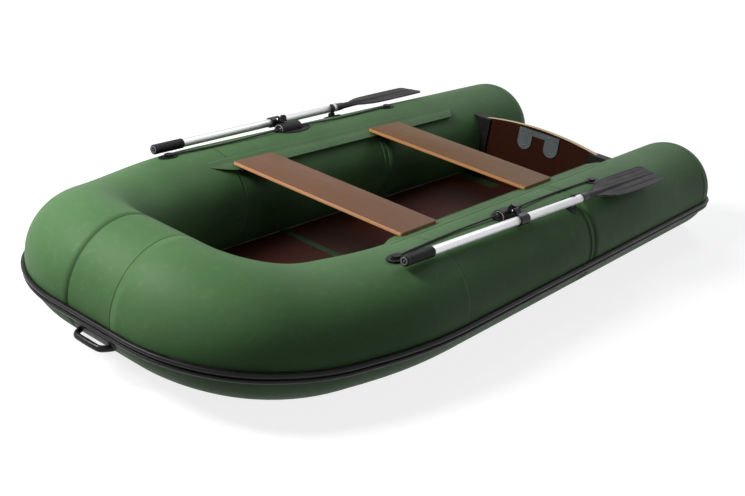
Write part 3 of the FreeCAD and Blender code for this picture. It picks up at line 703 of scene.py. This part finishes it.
low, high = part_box("floor_hinge_strips")
front_strip = strip_across("hinge_strip_front", 0.296, 0.017, high.y)
rear_strip = strip_across("hinge_strip_rear", -0.300, 0.017, high.y)
for strip in (front_strip, rear_strip):
    tidy(strip)
    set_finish(strip, "green_fabric")
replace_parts(front_strip, "floor_hinge_strips")
print("hinge strips:", front_strip.name, rear_strip.name)

# %% [markdown]
# ## Seat flaps
# Each tube carries a long flap whose free edge holds a bead, and the benches slide on it. The section starts on the tube with a
# glued foot, leaves it smoothly and ends round the bead. Towards both ends the free edge runs back to the tube.

# %% Seat flaps
def flap_section(reach):
    """Points of the flap's upper side and its thickness there, from its foot on the tube to its edge. Reach goes from 0 to 1."""
    points = []
    for n in range(5):
        y = 404.0 - 6.0 * n
        points.append((y, 191.5 + math.sqrt(191.6 ** 2 - (y - 472.0) ** 2), 0.25 * n))
    root_y, root_z = points[-1][:2]
    for n in range(1, 8):
        share = n / 7 * reach
        y = root_y + (338.5 - root_y) * share
        z = root_z + (346.5 - root_z) * share + 3.2 * math.sin(math.pi * share) * reach
        skin = 191.5 + math.sqrt(191.6 ** 2 - (y - 472.0) ** 2)
        points.append((y, max(z, skin), 1.0))
    return points


flap_rows = []
flap_front, flap_rear, flap_taper = 0.665, -0.815, 0.075
steps = 74
for n in range(steps + 1):
    x = flap_front + (flap_rear - flap_front) * n / steps
    front_share = min(1.0, (flap_front - x) / (1.6 * flap_taper))
    reach = min(math.sin(math.pi / 2 * front_share), (x - flap_rear) / (0.5 * flap_taper), 1.0)
    drift = max(x - 0.569, 0.0) ** 2 / 2.9
    top = flap_section(max(reach, 0.02))
    upper_side = [Vector((x, y * MM - drift, (z + thick) * MM)) for y, z, thick in top]
    lower_side = [Vector((x, y * MM - drift, (z - 0.8 * thick) * MM)) for y, z, thick in reversed(top)]
    row = upper_side + lower_side
    flap_rows.append(row + [row[0].copy()])
verts, faces, uvs = swept(flap_rows)
flap = tidy(put("seat_flap_cloth_port", verts, faces, trim_cloth, "hull", uvs, sharp_angle=60))
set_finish(flap, "green_fabric")
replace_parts(flap, "seat_flap_port")
flap_twin = starboard_twin(flap)
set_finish(flap_twin, "green_fabric")
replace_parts(flap_twin, "seat_flap_starboard")
bead_rows = []
for n in range(41):
    x = (flap_front - 1.5 * flap_taper) + (flap_rear - flap_front + 2.1 * flap_taper) * n / 40
    drift = max(x - 0.569, 0.0) ** 2 / 2.9
    centre = Vector((x, 0.3385 - drift, 0.3465))
    bead_rows.append([centre + Vector((0, math.cos(a), math.sin(a))) * 0.0035
                      for a in [2 * math.pi * (m % 16) / 16 for m in range(17)]])
verts, faces, uvs = swept(bead_rows)
bead = tidy(put("seat_flap_bead_port", verts, faces, trim_cloth, "hull", uvs))
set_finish(bead, "green_fabric")
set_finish(starboard_twin(bead), "green_fabric")
print("flap triangles:", triangles(flap))

# %% [markdown]
# ## Benches
# The benches are plain plywood boards. Only their softened edges show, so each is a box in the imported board's place with its
# upright corners rounded and then every edge eased by a small bevel.

# %% Benches
def eased_board(name, node, finish, body, corner, ease):
    low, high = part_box(node)
    work = bmesh.new()
    bmesh.ops.create_cube(work, size=1.0)
    for vert in work.verts:
        vert.co = Vector([(low[i] + high[i]) / 2 + vert.co[i] * (high[i] - low[i]) for i in range(3)])
    upright = [e for e in work.edges if abs(e.verts[0].co.z - e.verts[1].co.z) > 0.001]
    bmesh.ops.bevel(work, geom=upright, offset=corner, segments=5, affect="EDGES", profile=0.5)
    flat = [e for e in work.edges if e.is_manifold and e.calc_face_angle() > 1.2]
    bmesh.ops.bevel(work, geom=flat, offset=ease, segments=3, affect="EDGES", profile=0.5)
    mesh = bpy.data.meshes.new(name)
    work.to_mesh(mesh)
    work.free()
    mesh.shade_smooth()
    mesh.set_sharp_from_angle(angle=math.radians(35))
    mesh.materials.append(finish)
    board = bpy.data.objects.new(name, mesh)
    bpy.context.scene.collection.objects.link(board)
    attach(board, body)
    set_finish(board, "seat_plywood")
    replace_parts(board, node)
    return board


bow_bench = eased_board("bench_bow", "seat_board_bow", bench_bow_ply, "seat_bow", 0.006, 0.0012)
stern_bench = eased_board("bench_stern", "seat_board_stern", bench_stern_ply, "seat_stern", 0.006, 0.0012)
print("bench triangles:", triangles(bow_bench))

# %% [markdown]
# ## Oars
# The shaft, its grip and its end are turned shapes, so each is a profile of (distance, radius) spun about the oar's axis. The
# blade is a moulded plate with a thick spine that thins to the tip, a rim, and two long grooves beside the spine.

# %% Oars
handle_end, shaft_end = Vector((0.786, 0.535, 0.397)), Vector((-0.2535, 0.576, 0.391))
oar_axis = (handle_end - shaft_end).normalized()


def turned(name, profile, start, axis, finish, body, segments=40, sharp=40):
    """profile: (distance along the axis, radius), both in mm."""
    side = axis.orthogonal().normalized()
    other = axis.cross(side)
    rows = []
    for distance, radius in profile:
        centre = start + axis * distance * MM
        rows.append([centre + (side * math.cos(a) + other * math.sin(a)) * max(radius, 0.02) * MM
                     for a in [2 * math.pi * (n % segments) / segments for n in range(segments + 1)]])
    verts, faces, uvs = swept(rows)
    return tidy(put(name, verts, faces, finish, body, uvs, sharp_angle=sharp))


shaft_length = (handle_end - shaft_end).length / MM
shaft = turned("oar_shaft_tube_port", [(0, 13.6), (0, 14.6), (0.5, 15), (shaft_length - 10, 15), (shaft_length - 10, 13.6)],
               shaft_end, oar_axis, aluminium, "oar_port", 48)
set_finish(shaft, "oar_aluminium")
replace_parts(shaft, "oar_shaft_port")
grip_profile = [(-2, 15.1), (-1.5, 17.0), (0, 17.5), (4, 17.5), (5.5, 16.9), (124, 16.9), (125.5, 17.5), (129, 17.5),
                (131.6, 16.4), (133, 14.2)]
grip = turned("oar_grip_sleeve_port", grip_profile, handle_end - oar_axis * 0.133, oar_axis, rubber, "oar_port", 48)
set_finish(grip, "black_rubber")
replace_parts(grip, "oar_grip_port")
grip_cap = turned("oar_grip_disc_port", [(131.5, 13.0), (133.2, 13.0), (133.8, 12.2), (133.8, 9.2), (133.0, 8.4), (132.8, 3.0),
                                         (133.6, 2.2), (133.6, 0)], handle_end - oar_axis * 0.133, oar_axis, cap_grey, "oar_port", 32)
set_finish(grip_cap, "grey_plastic")
neck_sleeve = turned("oar_neck_sleeve_port", [(-34, 12.6), (-33, 14.4), (-4, 15.8), (10, 16.4), (11.5, 16.4), (12.5, 15.2)],
                     shaft_end, oar_axis, black_plastic, "oar_port", 40)
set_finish(neck_sleeve, "black_plastic")
for piece in (shaft, grip, grip_cap, neck_sleeve):
    twin = starboard_twin(piece)
    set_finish(twin, piece["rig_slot"])
    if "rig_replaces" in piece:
        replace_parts(twin, *[n.replace("port", "starboard") for n in piece["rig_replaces"]])
print("shaft length", round(shaft_length), "mm")

# %% Blades
blade_turn = (Matrix.Rotation(-math.asin(oar_axis.z), 4, "Y") @ Matrix.Rotation(math.asin(oar_axis.y), 4, "Z")
              @ Matrix.Rotation(math.radians(-8.0), 4, "X"))
outline_s = [0, 60, 105, 150, 190, 230, 300, 420, 545, 570]
outline_w = [11, 13, 23, 40, 51, 56, 58.2, 59, 58, 44]


def outline(s):
    for s0, s1, w0, w1 in zip(outline_s, outline_s[1:], outline_w, outline_w[1:]):
        if s <= s1:
            t = (s - s0) / (s1 - s0)
            t = t * t * (3 - 2 * t) if 60 <= s0 < 190 else t
            return w0 + (w1 - w0) * t
    return outline_w[-1]


def blade_height(s, u):
    """Height of the blade's upper side above its middle plane, at a distance and a place u across, from -1 to 1."""
    width = outline(s)
    y = u * width
    spine = max(13.0 - 8.5 * s / 530, 0.0)
    ridge = math.sqrt(spine ** 2 - y ** 2) if abs(y) < spine else 0.0
    rim = 1.2 * max(0.0, 1 - (1 - abs(u)) * width / 5.0)
    fade = min(max((s - 225) / 25, 0.0), 1.0) * min(max((540 - s) / 20, 0.0), 1.0)
    groove = 1.6 * math.exp(-((abs(y) - 36.0) / 2.2) ** 2) * fade
    swell = 1.3 * math.exp(-((abs(y) - 22.0) / 9.0) ** 2) * min(max((s - 140) / 60, 0.0), 1.0) * min(max((560 - s) / 60, 0), 1)
    return max(2.1 + rim - groove + swell, ridge)


blade_rows = []
stations_s = [570 * n / 70 for n in range(71)]
spots = [math.sin(math.pi / 2 * (2 * m / 56 - 1) * 0.97) / math.sin(math.pi / 2 * 0.97) for m in range(57)]
for s in stations_s:
    width = outline(s)
    tip = max(0.0, (s - 556) / 14)
    row = [Vector((-s, u * width, blade_height(s, u) * (1 - 0.45 * tip ** 2))) for u in spots]
    row += [Vector((-s, u * width, -blade_height(s, u) * (1 - 0.45 * tip ** 2))) for u in reversed(spots)]
    blade_rows.append([(blade_turn @ (p * MM)) + shaft_end for p in row] + [(blade_turn @ (row[0] * MM)) + shaft_end])
verts, faces, uvs = swept(blade_rows)
blade = tidy(put("oar_blade_moulding_port", verts, faces, blade_plastic, "oar_port", uvs, sharp_angle=45))
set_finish(blade, "black_plastic")
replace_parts(blade, "oar_blade_port")
blade_twin = starboard_twin(blade)
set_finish(blade_twin, "black_plastic")
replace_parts(blade_twin, "oar_blade_starboard")
print("blade triangles:", triangles(blade))

# %% [markdown]
# ## Lifelines
# A thin black rope runs along the top of each tube from eyelet to eyelet, through the rowlock's housing, and is pulled tight.
# Its strands are a helix in the mesh: three lobes round the section that turn as the rope goes along.

# %% Lifelines
rope_points = [Vector(p) * MM for p in (
    (747.0, 488.0, 387.0), (487.0, 477.0, 386.73), (202.0, 489.0, 391.0), (73.0, 489.0, 391.0), (-181.0, 479.0, 386.6),
    (-481.0, 494.0, 387.0))]
guide = bpy.data.curves.new("rope guide", "CURVE")
guide.dimensions = "3D"
spline = guide.splines.new("NURBS")
spline.points.add(len(rope_points) - 1)
for point, spot in zip(spline.points, rope_points):
    point.co = (*spot, 1)
spline.order_u = 3
spline.use_endpoint_u = True
guide.resolution_u = 48
guide_object = bpy.data.objects.new("rope guide", guide)
bpy.context.scene.collection.objects.link(guide_object)
walk = bpy.data.meshes.new_from_object(guide_object)
path = [v.co.copy() for v in walk.vertices]
bpy.data.objects.remove(guide_object)
length, rope_rows, travelled = sum((b - a).length for a, b in zip(path, path[1:])), [], 0.0
samples = round(length / 0.0022)
marks = [0.0]
for a, b in zip(path, path[1:]):
    marks.append(marks[-1] + (b - a).length)
segment = 0
for n in range(samples + 1):
    target = length * n / samples
    while segment < len(path) - 2 and marks[segment + 1] < target:
        segment += 1
    a, b = path[segment], path[segment + 1]
    centre = a.lerp(b, (target - marks[segment]) / max(marks[segment + 1] - marks[segment], 1e-9))
    heading = (b - a).normalized()
    side = heading.cross(Vector((0, 0, 1))).normalized()
    lift = side.cross(heading)
    twist = target / 0.026 * 2 * math.pi
    row = []
    for m in range(19):
        angle = 2 * math.pi * (m % 18) / 18
        radius = (3.05 + 0.4 * abs(math.cos(1.5 * (angle - twist)))) * MM
        row.append(centre + (side * math.cos(angle) + lift * math.sin(angle)) * radius)
    rope_rows.append(row)
f = Finish("black rope", source="UV", Roughness=0.7, Specular_IOR_Level=0.3)
fibre = f.texture("ShaderNodeTexNoise", 900.0)
f.colour(f.mix(fibre.outputs["Fac"], tone("0d0d0e"), tone("232325")))
f.bump(fibre.outputs["Fac"], 0.0003, 0.6)
rope_black = f.material
verts, faces, uvs = swept(rope_rows)
rope = tidy(put("lifeline_rope_port", verts, faces, rope_black, "hull", uvs))
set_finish(rope, "black_rope")
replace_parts(rope, "lifeline_port")
rope_twin = starboard_twin(rope)
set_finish(rope_twin, "black_rope")
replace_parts(rope_twin, "lifeline_starboard")
print("lifeline length", round(length, 3), "triangles", triangles(rope))

# %% [markdown]
# ## Repeats by Geometry Nodes
# Screws, bolts, grip rings and cap ribs are copies of one small shape at a list of spots. One tree does them all: it takes points
# whose normals say how to stand, puts an object on each, turns each copy by a seeded angle, and makes them real.

# %% The repeating tree
def repeat_tree():
    tree = bpy.data.node_groups.new("copies on spots", "GeometryNodeTree")
    for label, kind, value in (("Spots", "NodeSocketGeometry", None), ("Shape", "NodeSocketObject", None),
                               ("Size", "NodeSocketFloat", 1.0), ("Loose turn", "NodeSocketFloat", 0.0),
                               ("Seed", "NodeSocketInt", 7), ("Finish", "NodeSocketMaterial", None)):
        socket = tree.interface.new_socket(name=label, in_out="INPUT", socket_type=kind)
        if value is not None:
            socket.default_value = value
    tree.interface.new_socket(name="Copies", in_out="OUTPUT", socket_type="NodeSocketGeometry")
    start, end = tree.nodes.new("NodeGroupInput"), tree.nodes.new("NodeGroupOutput")
    shape = tree.nodes.new("GeometryNodeObjectInfo")
    place = tree.nodes.new("GeometryNodeInstanceOnPoints")
    stand = tree.nodes.new("FunctionNodeAlignRotationToVector")
    stand.axis = "Z"
    normal = tree.nodes.new("GeometryNodeInputNamedAttribute")
    normal.data_type = "FLOAT_VECTOR"
    normal.inputs["Name"].default_value = "stand"
    chance = tree.nodes.new("FunctionNodeRandomValue")
    chance.data_type = "FLOAT"
    spin = tree.nodes.new("FunctionNodeAxisAngleToRotation")
    turn = tree.nodes.new("FunctionNodeRotateRotation")
    turn.rotation_space = "LOCAL"
    real = tree.nodes.new("GeometryNodeRealizeInstances")
    paint = tree.nodes.new("GeometryNodeSetMaterial")
    link = tree.links.new
    link(start.outputs["Spots"], place.inputs["Points"])
    link(start.outputs["Shape"], shape.inputs["Object"])
    link(shape.outputs["Geometry"], place.inputs["Instance"])
    link(start.outputs["Size"], place.inputs["Scale"])
    link(normal.outputs["Attribute"], stand.inputs["Vector"])
    link(start.outputs["Loose turn"], chance.inputs["Max"])
    link(start.outputs["Seed"], chance.inputs["Seed"])
    spin.inputs["Axis"].default_value = (0, 0, 1)
    link(chance.outputs["Value"], spin.inputs["Angle"])
    link(stand.outputs["Rotation"], turn.inputs["Rotation"])
    link(spin.outputs["Rotation"], turn.inputs["Rotate By"])
    link(turn.outputs["Rotation"], place.inputs["Rotation"])
    link(place.outputs["Instances"], real.inputs["Geometry"])
    link(real.outputs["Geometry"], paint.inputs["Geometry"])
    link(start.outputs["Finish"], paint.inputs["Material"])
    link(paint.outputs["Geometry"], end.inputs["Copies"])
    return tree


copies = repeat_tree()


def grown(name, spots, shape, finish, body, slot, size=1.0, loose_turn=0.0, seed=7):
    """spots: list of (place, direction that a copy's Z points in)."""
    mesh = bpy.data.meshes.new(name + " spots")
    mesh.from_pydata([tuple(p) for p, d in spots], [], [])
    stand = mesh.attributes.new("stand", "FLOAT_VECTOR", "POINT")
    stand.data.foreach_set("vector", [c for p, d in spots for c in d.normalized()])
    base = bpy.data.objects.new(name + " base", mesh)
    bpy.context.scene.collection.objects.link(base)
    modifier = base.modifiers.new("copies", "NODES")
    modifier.node_group = copies
    values = {"Shape": shape, "Size": size, "Loose turn": loose_turn, "Seed": seed, "Finish": finish}
    for item in copies.interface.items_tree:
        if item.item_type == "SOCKET" and item.in_out == "INPUT" and item.name in values:
            modifier[item.identifier] = values[item.name]
    bpy.context.view_layer.update()
    depsgraph = bpy.context.evaluated_depsgraph_get()
    result = bpy.data.meshes.new_from_object(base.evaluated_get(depsgraph))
    result.name = name
    if not result.materials:
        result.materials.append(finish)
    bpy.data.objects.remove(base)
    piece = bpy.data.objects.new(name, result)
    bpy.context.scene.collection.objects.link(piece)
    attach(piece, body)
    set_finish(piece, slot)
    return piece


def pattern(name, profile, segments=16):
    """A small turned shape standing on its origin along +Z, in mm, kept out of the picture as the thing to copy."""
    rows = []
    for z, radius in profile:
        rows.append([Vector((max(radius, 0.02) * math.cos(a), max(radius, 0.02) * math.sin(a), z)) * MM
                     for a in [2 * math.pi * (n % segments) / segments for n in range(segments + 1)]])
    verts, faces, uvs = swept(rows)
    mesh = bpy.data.meshes.new(name)
    mesh.from_pydata([tuple(v) for v in verts], [], faces)
    work = bmesh.new()
    work.from_mesh(mesh)
    bmesh.ops.remove_doubles(work, verts=work.verts, dist=1e-7)
    bmesh.ops.recalc_face_normals(work, faces=work.faces)
    work.to_mesh(mesh)
    work.free()
    mesh.shade_smooth()
    mesh.set_sharp_from_angle(angle=math.radians(40))
    return bpy.data.objects.new(name, mesh)


screw = pattern("screw shape", [(-0.5, 4.2), (0.0, 4.2), (1.2, 3.9), (2.0, 2.8), (2.3, 1.6), (1.6, 1.3), (1.3, 0)], 16)
grip_ring = pattern("grip ring shape", [(-0.9, 16.7), (-0.5, 17.35), (0, 17.5), (0.5, 17.35), (0.9, 16.7)], 40)
bolt = pattern("bolt shape", [(-0.5, 5.4), (2.8, 5.4), (3.4, 4.6), (3.4, 0)], 6)
knob_rib = pattern("cap rib shape", [(0, 1.1), (4.6, 1.1), (5.2, 0.7), (5.2, 0)], 8)
print("repeating tree:", copies.name, "sockets", len(copies.interface.items_tree))

# %% [markdown]
# ## Screws on the motor pad, rings on the grips
# Each lobe of the pad has two screws at its top and one below. The grips carry close rings all along.

# %% Screws and grip rings
low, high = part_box("motor_pad_inner")
screw_spots = []
for side in (-1, 1):
    for y, z in ((0.047, 0.331), (0.085, 0.331), (0.066, 0.268)):
        screw_spots.append((Vector((high.x, side * y, z)), Vector((1, 0, 0))))
screws = grown("motor_pad_screws", screw_spots, screw, dark_steel, "hull", "oar_aluminium", 1.0, 3.1, 3)
low_out, high_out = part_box("motor_pad_outer")
outer_spots = [(Vector((low_out.x, y, z)), Vector((-1, 0, 0))) for y in (-0.095, 0.0, 0.095) for z in (0.215, 0.325)]
outer_screws = grown("outer_pad_screws", outer_spots, screw, steel, "hull", "oar_aluminium", 1.0, 3.1, 5)
grip_start = handle_end - oar_axis * 0.133
ring_spots = [(grip_start + oar_axis * (0.012 + 0.0052 * n), oar_axis) for n in range(21)]
rings = grown("oar_grip_rings_port", ring_spots, grip_ring, rubber, "oar_port", "black_rubber")
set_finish(starboard_twin(rings), "black_rubber")
print("screws:", len(screw_spots) + len(outer_spots), "grip rings:", len(ring_spots))

# %% [markdown]
# ## Bow handle
# The carrying handle is one black moulding: a thin oval plate on the tube and a round bar that stands off it. A smooth line
# through a few points gives the bar, and the plate follows the band of cloth under it.

# %% Bow handle
handle_z = 0.125
skin_x = nose.x + math.sqrt(tube_radius ** 2 - (nose.z - handle_z) ** 2)
reach_x = 1.4947
bar_line = [(skin_x - 0.004, -0.070), (skin_x + 0.010, -0.065), (reach_x - 0.013, -0.050), (reach_x - 0.0096, -0.022),
            (reach_x - 0.0096, 0.0)]
bar_line += [(x, -y) for x, y in reversed(bar_line[:-1])]
bar_rows = []
fine = 8
for i in range(len(bar_line) - 1):
    p0, p1, p2, p3 = (bar_line[min(max(i + k, 0), len(bar_line) - 1)] for k in (-1, 0, 1, 2))
    for n in range(fine if i < len(bar_line) - 2 else fine + 1):
        t = n / fine
        spot = [0.5 * (2 * b + (c - a) * t + (2 * a - 5 * b + 4 * c - d) * t * t + (3 * b - a - 3 * c + d) * t ** 3)
                for a, b, c, d in zip(p0, p1, p2, p3)]
        pull = [0.5 * ((c - a) + 2 * (2 * a - 5 * b + 4 * c - d) * t + 3 * (3 * b - a - 3 * c + d) * t * t)
                for a, b, c, d in zip(p0, p1, p2, p3)]
        heading = Vector((pull[0], pull[1], 0)).normalized()
        side = Vector((heading.y, -heading.x, 0))
        flat = 1.0 - 0.25 * abs(spot[1]) / 0.072
        bar_rows.append([Vector((spot[0], spot[1], handle_z)) + (side * math.cos(a) * 0.0096 * flat + Vector((0, 0, 1)) * math.sin(a) * 0.0105)
                         for a in [2 * math.pi * (m % 20) / 20 for m in range(21)]])
verts, faces, uvs = swept(bar_rows)
handle = tidy(put("bow_handle_bar", verts, faces, black_plastic, "hull", uvs, sharp_angle=50))
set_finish(handle, "black_rubber")
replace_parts(handle, "bow_handle")
plate_rows = []
for share, away in ((1.0, 0.3), (1.0, 2.2), (0.97, 3.2), (0.92, 3.8), (0.6, 4.0), (0.02, 4.0)):
    row = []
    for m in range(65):
        angle = 2 * math.pi * (m % 64) / 64
        y = 0.085 * share * math.copysign(abs(math.cos(angle)) ** 0.6, math.cos(angle))
        z = 0.139 + 0.0205 * share * math.copysign(abs(math.sin(angle)) ** 0.6, math.sin(angle))
        row.append(Vector((nose.x + math.sqrt((tube_radius + away * MM) ** 2 - (nose.z - z) ** 2), y, z)))
    plate_rows.append(row)
verts, faces, uvs = swept(plate_rows)
plate = tidy(put("bow_handle_plate", verts, faces, rubber, "hull", uvs, sharp_angle=50))
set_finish(plate, "black_rubber")
print("handle reaches", round(max(v.co.x for v in handle.data.vertices), 4))

# %% [markdown]
# ## Bright rims and cap ribs
# A thin bright ring closes each end of the rowlock's housing, the oar's hinge pin ends in two small bolts, and the valve and
# drain caps carry grip ribs, which the repeating tree sets round their rims.

# %% Rims, bolts and ribs
hinge_out = Vector((0.0, 0.9511, -0.3090))
hinge_out = (hinge_out - oar_axis * hinge_out.dot(oar_axis)).normalized()
hinge_middle = Vector((0.150, 0.518, 0.420)) + hinge_out * 0.012
for name, x, way in (("front", 0.190, 1), ("rear", 0.085, -1)):
    rim = turned("rowlock_rim_" + name + "_port", [(-0.5, 19.2), (-0.5, 20.6), (0.9, 20.6), (1.4, 20.1), (1.4, 19.2), (-0.5, 19.2)],
                 Vector((x, 0.495, 0.386)), Vector((way, 0, 0)), steel, "hull", 48)
    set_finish(rim, "oar_aluminium")
    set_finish(starboard_twin(rim), "oar_aluminium")
bolt_spots = [(hinge_middle + oar_axis * 0.0158, oar_axis), (hinge_middle - oar_axis * 0.0158, -oar_axis)]
bolts = grown("rowlock_bolts_port", bolt_spots, bolt, steel, "rowlock_port", "oar_aluminium", 0.75)
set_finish(starboard_twin(bolts, "rowlock_starboard"), "oar_aluminium")
plug_spots = [(Vector((-1.0114, 0.190 + 0.0262 * math.cos(a), 0.095 + 0.0262 * math.sin(a))), Vector((-1, 0, 0)))
              for a in [2 * math.pi * n / 16 for n in range(16)]]
plug_ribs = grown("drain_cap_ribs", plug_spots, knob_rib, black_plastic, "hull", "black_plastic", 0.35)
valve_axis = Vector((0, -1, 0.35)).normalized()
valve_side = valve_axis.cross(Vector((1, 0, 0))).normalized()
valve_top = Vector((-1.120, half_spacing, tube_radius)) + valve_axis * (tube_radius + 0.0088)
valve_spots = [(valve_top + (Vector((1, 0, 0)) * math.cos(a) + valve_side * math.sin(a)) * 0.0198, valve_axis)
               for a in [2 * math.pi * n / 14 for n in range(14)]]
valve_ribs = grown("valve_cap_ribs_port", valve_spots, knob_rib, black_plastic, "hull", "black_plastic")
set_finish(starboard_twin(valve_ribs), "black_plastic")
print("rims, bolts and ribs:", len(bolt_spots), len(plug_spots), len(valve_spots))

# %% [markdown]
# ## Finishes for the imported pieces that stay
# Rowlocks, collars, pads, holders, rails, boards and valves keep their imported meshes, which are already the right shape.

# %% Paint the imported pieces
def paint(finish, *names):
    for name in names:
        for each in (name, name + "_port", name + "_starboard"):
            if each in nodes:
                data = nodes[each].data
                data.materials.clear()
                data.materials.append(finish)


paint(rubber, "rowlock_base", "lifeline_eyelets", "oar_holder", "transom_holder")
paint(black_plastic, "rowlock_yoke", "oar_collar", "air_valve", "drain_plug", "seat_rails_bow", "seat_rails_stern")
paint(grey_plastic, "motor_pad_inner", "motor_pad_outer")
paint(floor_ply, "floorboard_bow", "floorboard_middle", "floorboard_stern")
paint(transom_ply, "transom_board")
print("painted", sum(1 for o in nodes.values() if o.data.materials))

# %% [markdown]
# ## Floor, light and air
# The boat stands on a pale floor that looks white to the camera, and only keeps the boat's shadow. One broad lamp hangs over the
# bow, a smaller one fills from the stern, and the air around is dim, so that the undersides stay deep green.

# %% Stage
def seen_directly(tree, paths):
    """1 for rays from the camera and for mirror and glass rays, so that metal shows the white surroundings too."""
    mirrored = math_node(tree, "MAXIMUM", paths.outputs["Is Glossy Ray"], paths.outputs["Is Transmission Ray"])
    return math_node(tree, "MAXIMUM", paths.outputs["Is Camera Ray"], mirrored)


floor_mesh = bpy.data.meshes.new("studio_floor")
floor_mesh.from_pydata([(-30, -30, -0.0005), (30, -30, -0.0005), (30, 30, -0.0005), (-30, 30, -0.0005)], [], [(0, 1, 2, 3)])
floor = bpy.data.objects.new("studio_floor", floor_mesh)
bpy.context.scene.collection.objects.link(floor)
floor_material = bpy.data.materials.new("studio floor")
floor_material.use_nodes = True
tree = floor_material.node_tree
shader = next(n for n in tree.nodes if n.type == "BSDF_PRINCIPLED")
shader.inputs["Base Color"].default_value = (0.3, 0.3, 0.3, 1)
shader.inputs["Roughness"].default_value = 0.9
shader.inputs["Specular IOR Level"].default_value = 0.0
glow = tree.nodes.new("ShaderNodeEmission")
paths = tree.nodes.new("ShaderNodeLightPath")
both = tree.nodes.new("ShaderNodeAddShader")
choose = tree.nodes.new("ShaderNodeMixShader")
output = next(n for n in tree.nodes if n.type == "OUTPUT_MATERIAL")
bounce = tree.nodes.new("ShaderNodeBsdfDiffuse")
bounce.inputs["Color"].default_value = (0.025, 0.025, 0.025, 1)
place = tree.nodes.new("ShaderNodeTexCoord")
distance = tree.nodes.new("ShaderNodeVectorMath")
distance.operation = "LENGTH"
brighten = tree.nodes.new("ShaderNodeMapRange")
for label, value in (("From Min", 2.2), ("From Max", 5.5), ("To Min", 0.82), ("To Max", 1.0)):
    brighten.inputs[label].default_value = value
tree.links.new(place.outputs["Object"], distance.inputs[0])
tree.links.new(distance.outputs["Value"], brighten.inputs["Value"])
tree.links.new(brighten.outputs[0], glow.inputs["Strength"])
tree.links.new(shader.outputs[0], both.inputs[0])
tree.links.new(glow.outputs[0], both.inputs[1])
tree.links.new(seen_directly(tree, paths), choose.inputs[0])
tree.links.new(bounce.outputs[0], choose.inputs[1])
tree.links.new(both.outputs[0], choose.inputs[2])
tree.links.new(choose.outputs[0], output.inputs["Surface"])
floor_mesh.materials.append(floor_material)

world = bpy.data.worlds.new("air")
bpy.context.scene.world = world
world.use_nodes = True
tree = world.node_tree
background = next(n for n in tree.nodes if n.type == "BACKGROUND")
paths = tree.nodes.new("ShaderNodeLightPath")
white = tree.nodes.new("ShaderNodeBackground")
white.inputs["Strength"].default_value = 1.0
white.inputs["Color"].default_value = (1, 1, 1, 1)
background.inputs["Color"].default_value = (0.86, 0.93, 1.0, 1)
background.inputs["Strength"].default_value = 0.07
choose = tree.nodes.new("ShaderNodeMixShader")
output = next(n for n in tree.nodes if n.type == "OUTPUT_WORLD")
tree.links.new(seen_directly(tree, paths), choose.inputs[0])
tree.links.new(background.outputs[0], choose.inputs[1])
tree.links.new(white.outputs[0], choose.inputs[2])
tree.links.new(choose.outputs[0], output.inputs["Surface"])


def lamp(name, place, aim, size, watts, colour=(1, 1, 1)):
    data = bpy.data.lights.new(name, "AREA")
    data.shape = "DISK"
    data.size = size
    data.energy = watts
    data.color = colour
    light = bpy.data.objects.new(name, data)
    light.location = place
    light.rotation_mode = "QUATERNION"
    light.rotation_quaternion = (Vector(aim) - Vector(place)).to_track_quat("-Z", "Y")
    bpy.context.scene.collection.objects.link(light)
    return light


lamp("key lamp", (3.1, -1.5, 2.9), (0.6, 0.0, 0.2), 1.6, 290, (1.0, 0.99, 0.97))
lamp("stern lamp", (-3.6, -0.4, 3.6), (-0.6, 0.0, 0.2), 1.8, 40, (0.96, 0.98, 1.0))
lamp("port lamp", (1.2, 4.5, 2.6), (0.2, 0.2, 0.2), 1.8, 14, (1.0, 1.0, 1.0))
bpy.context.scene.view_settings.view_transform = "Standard"
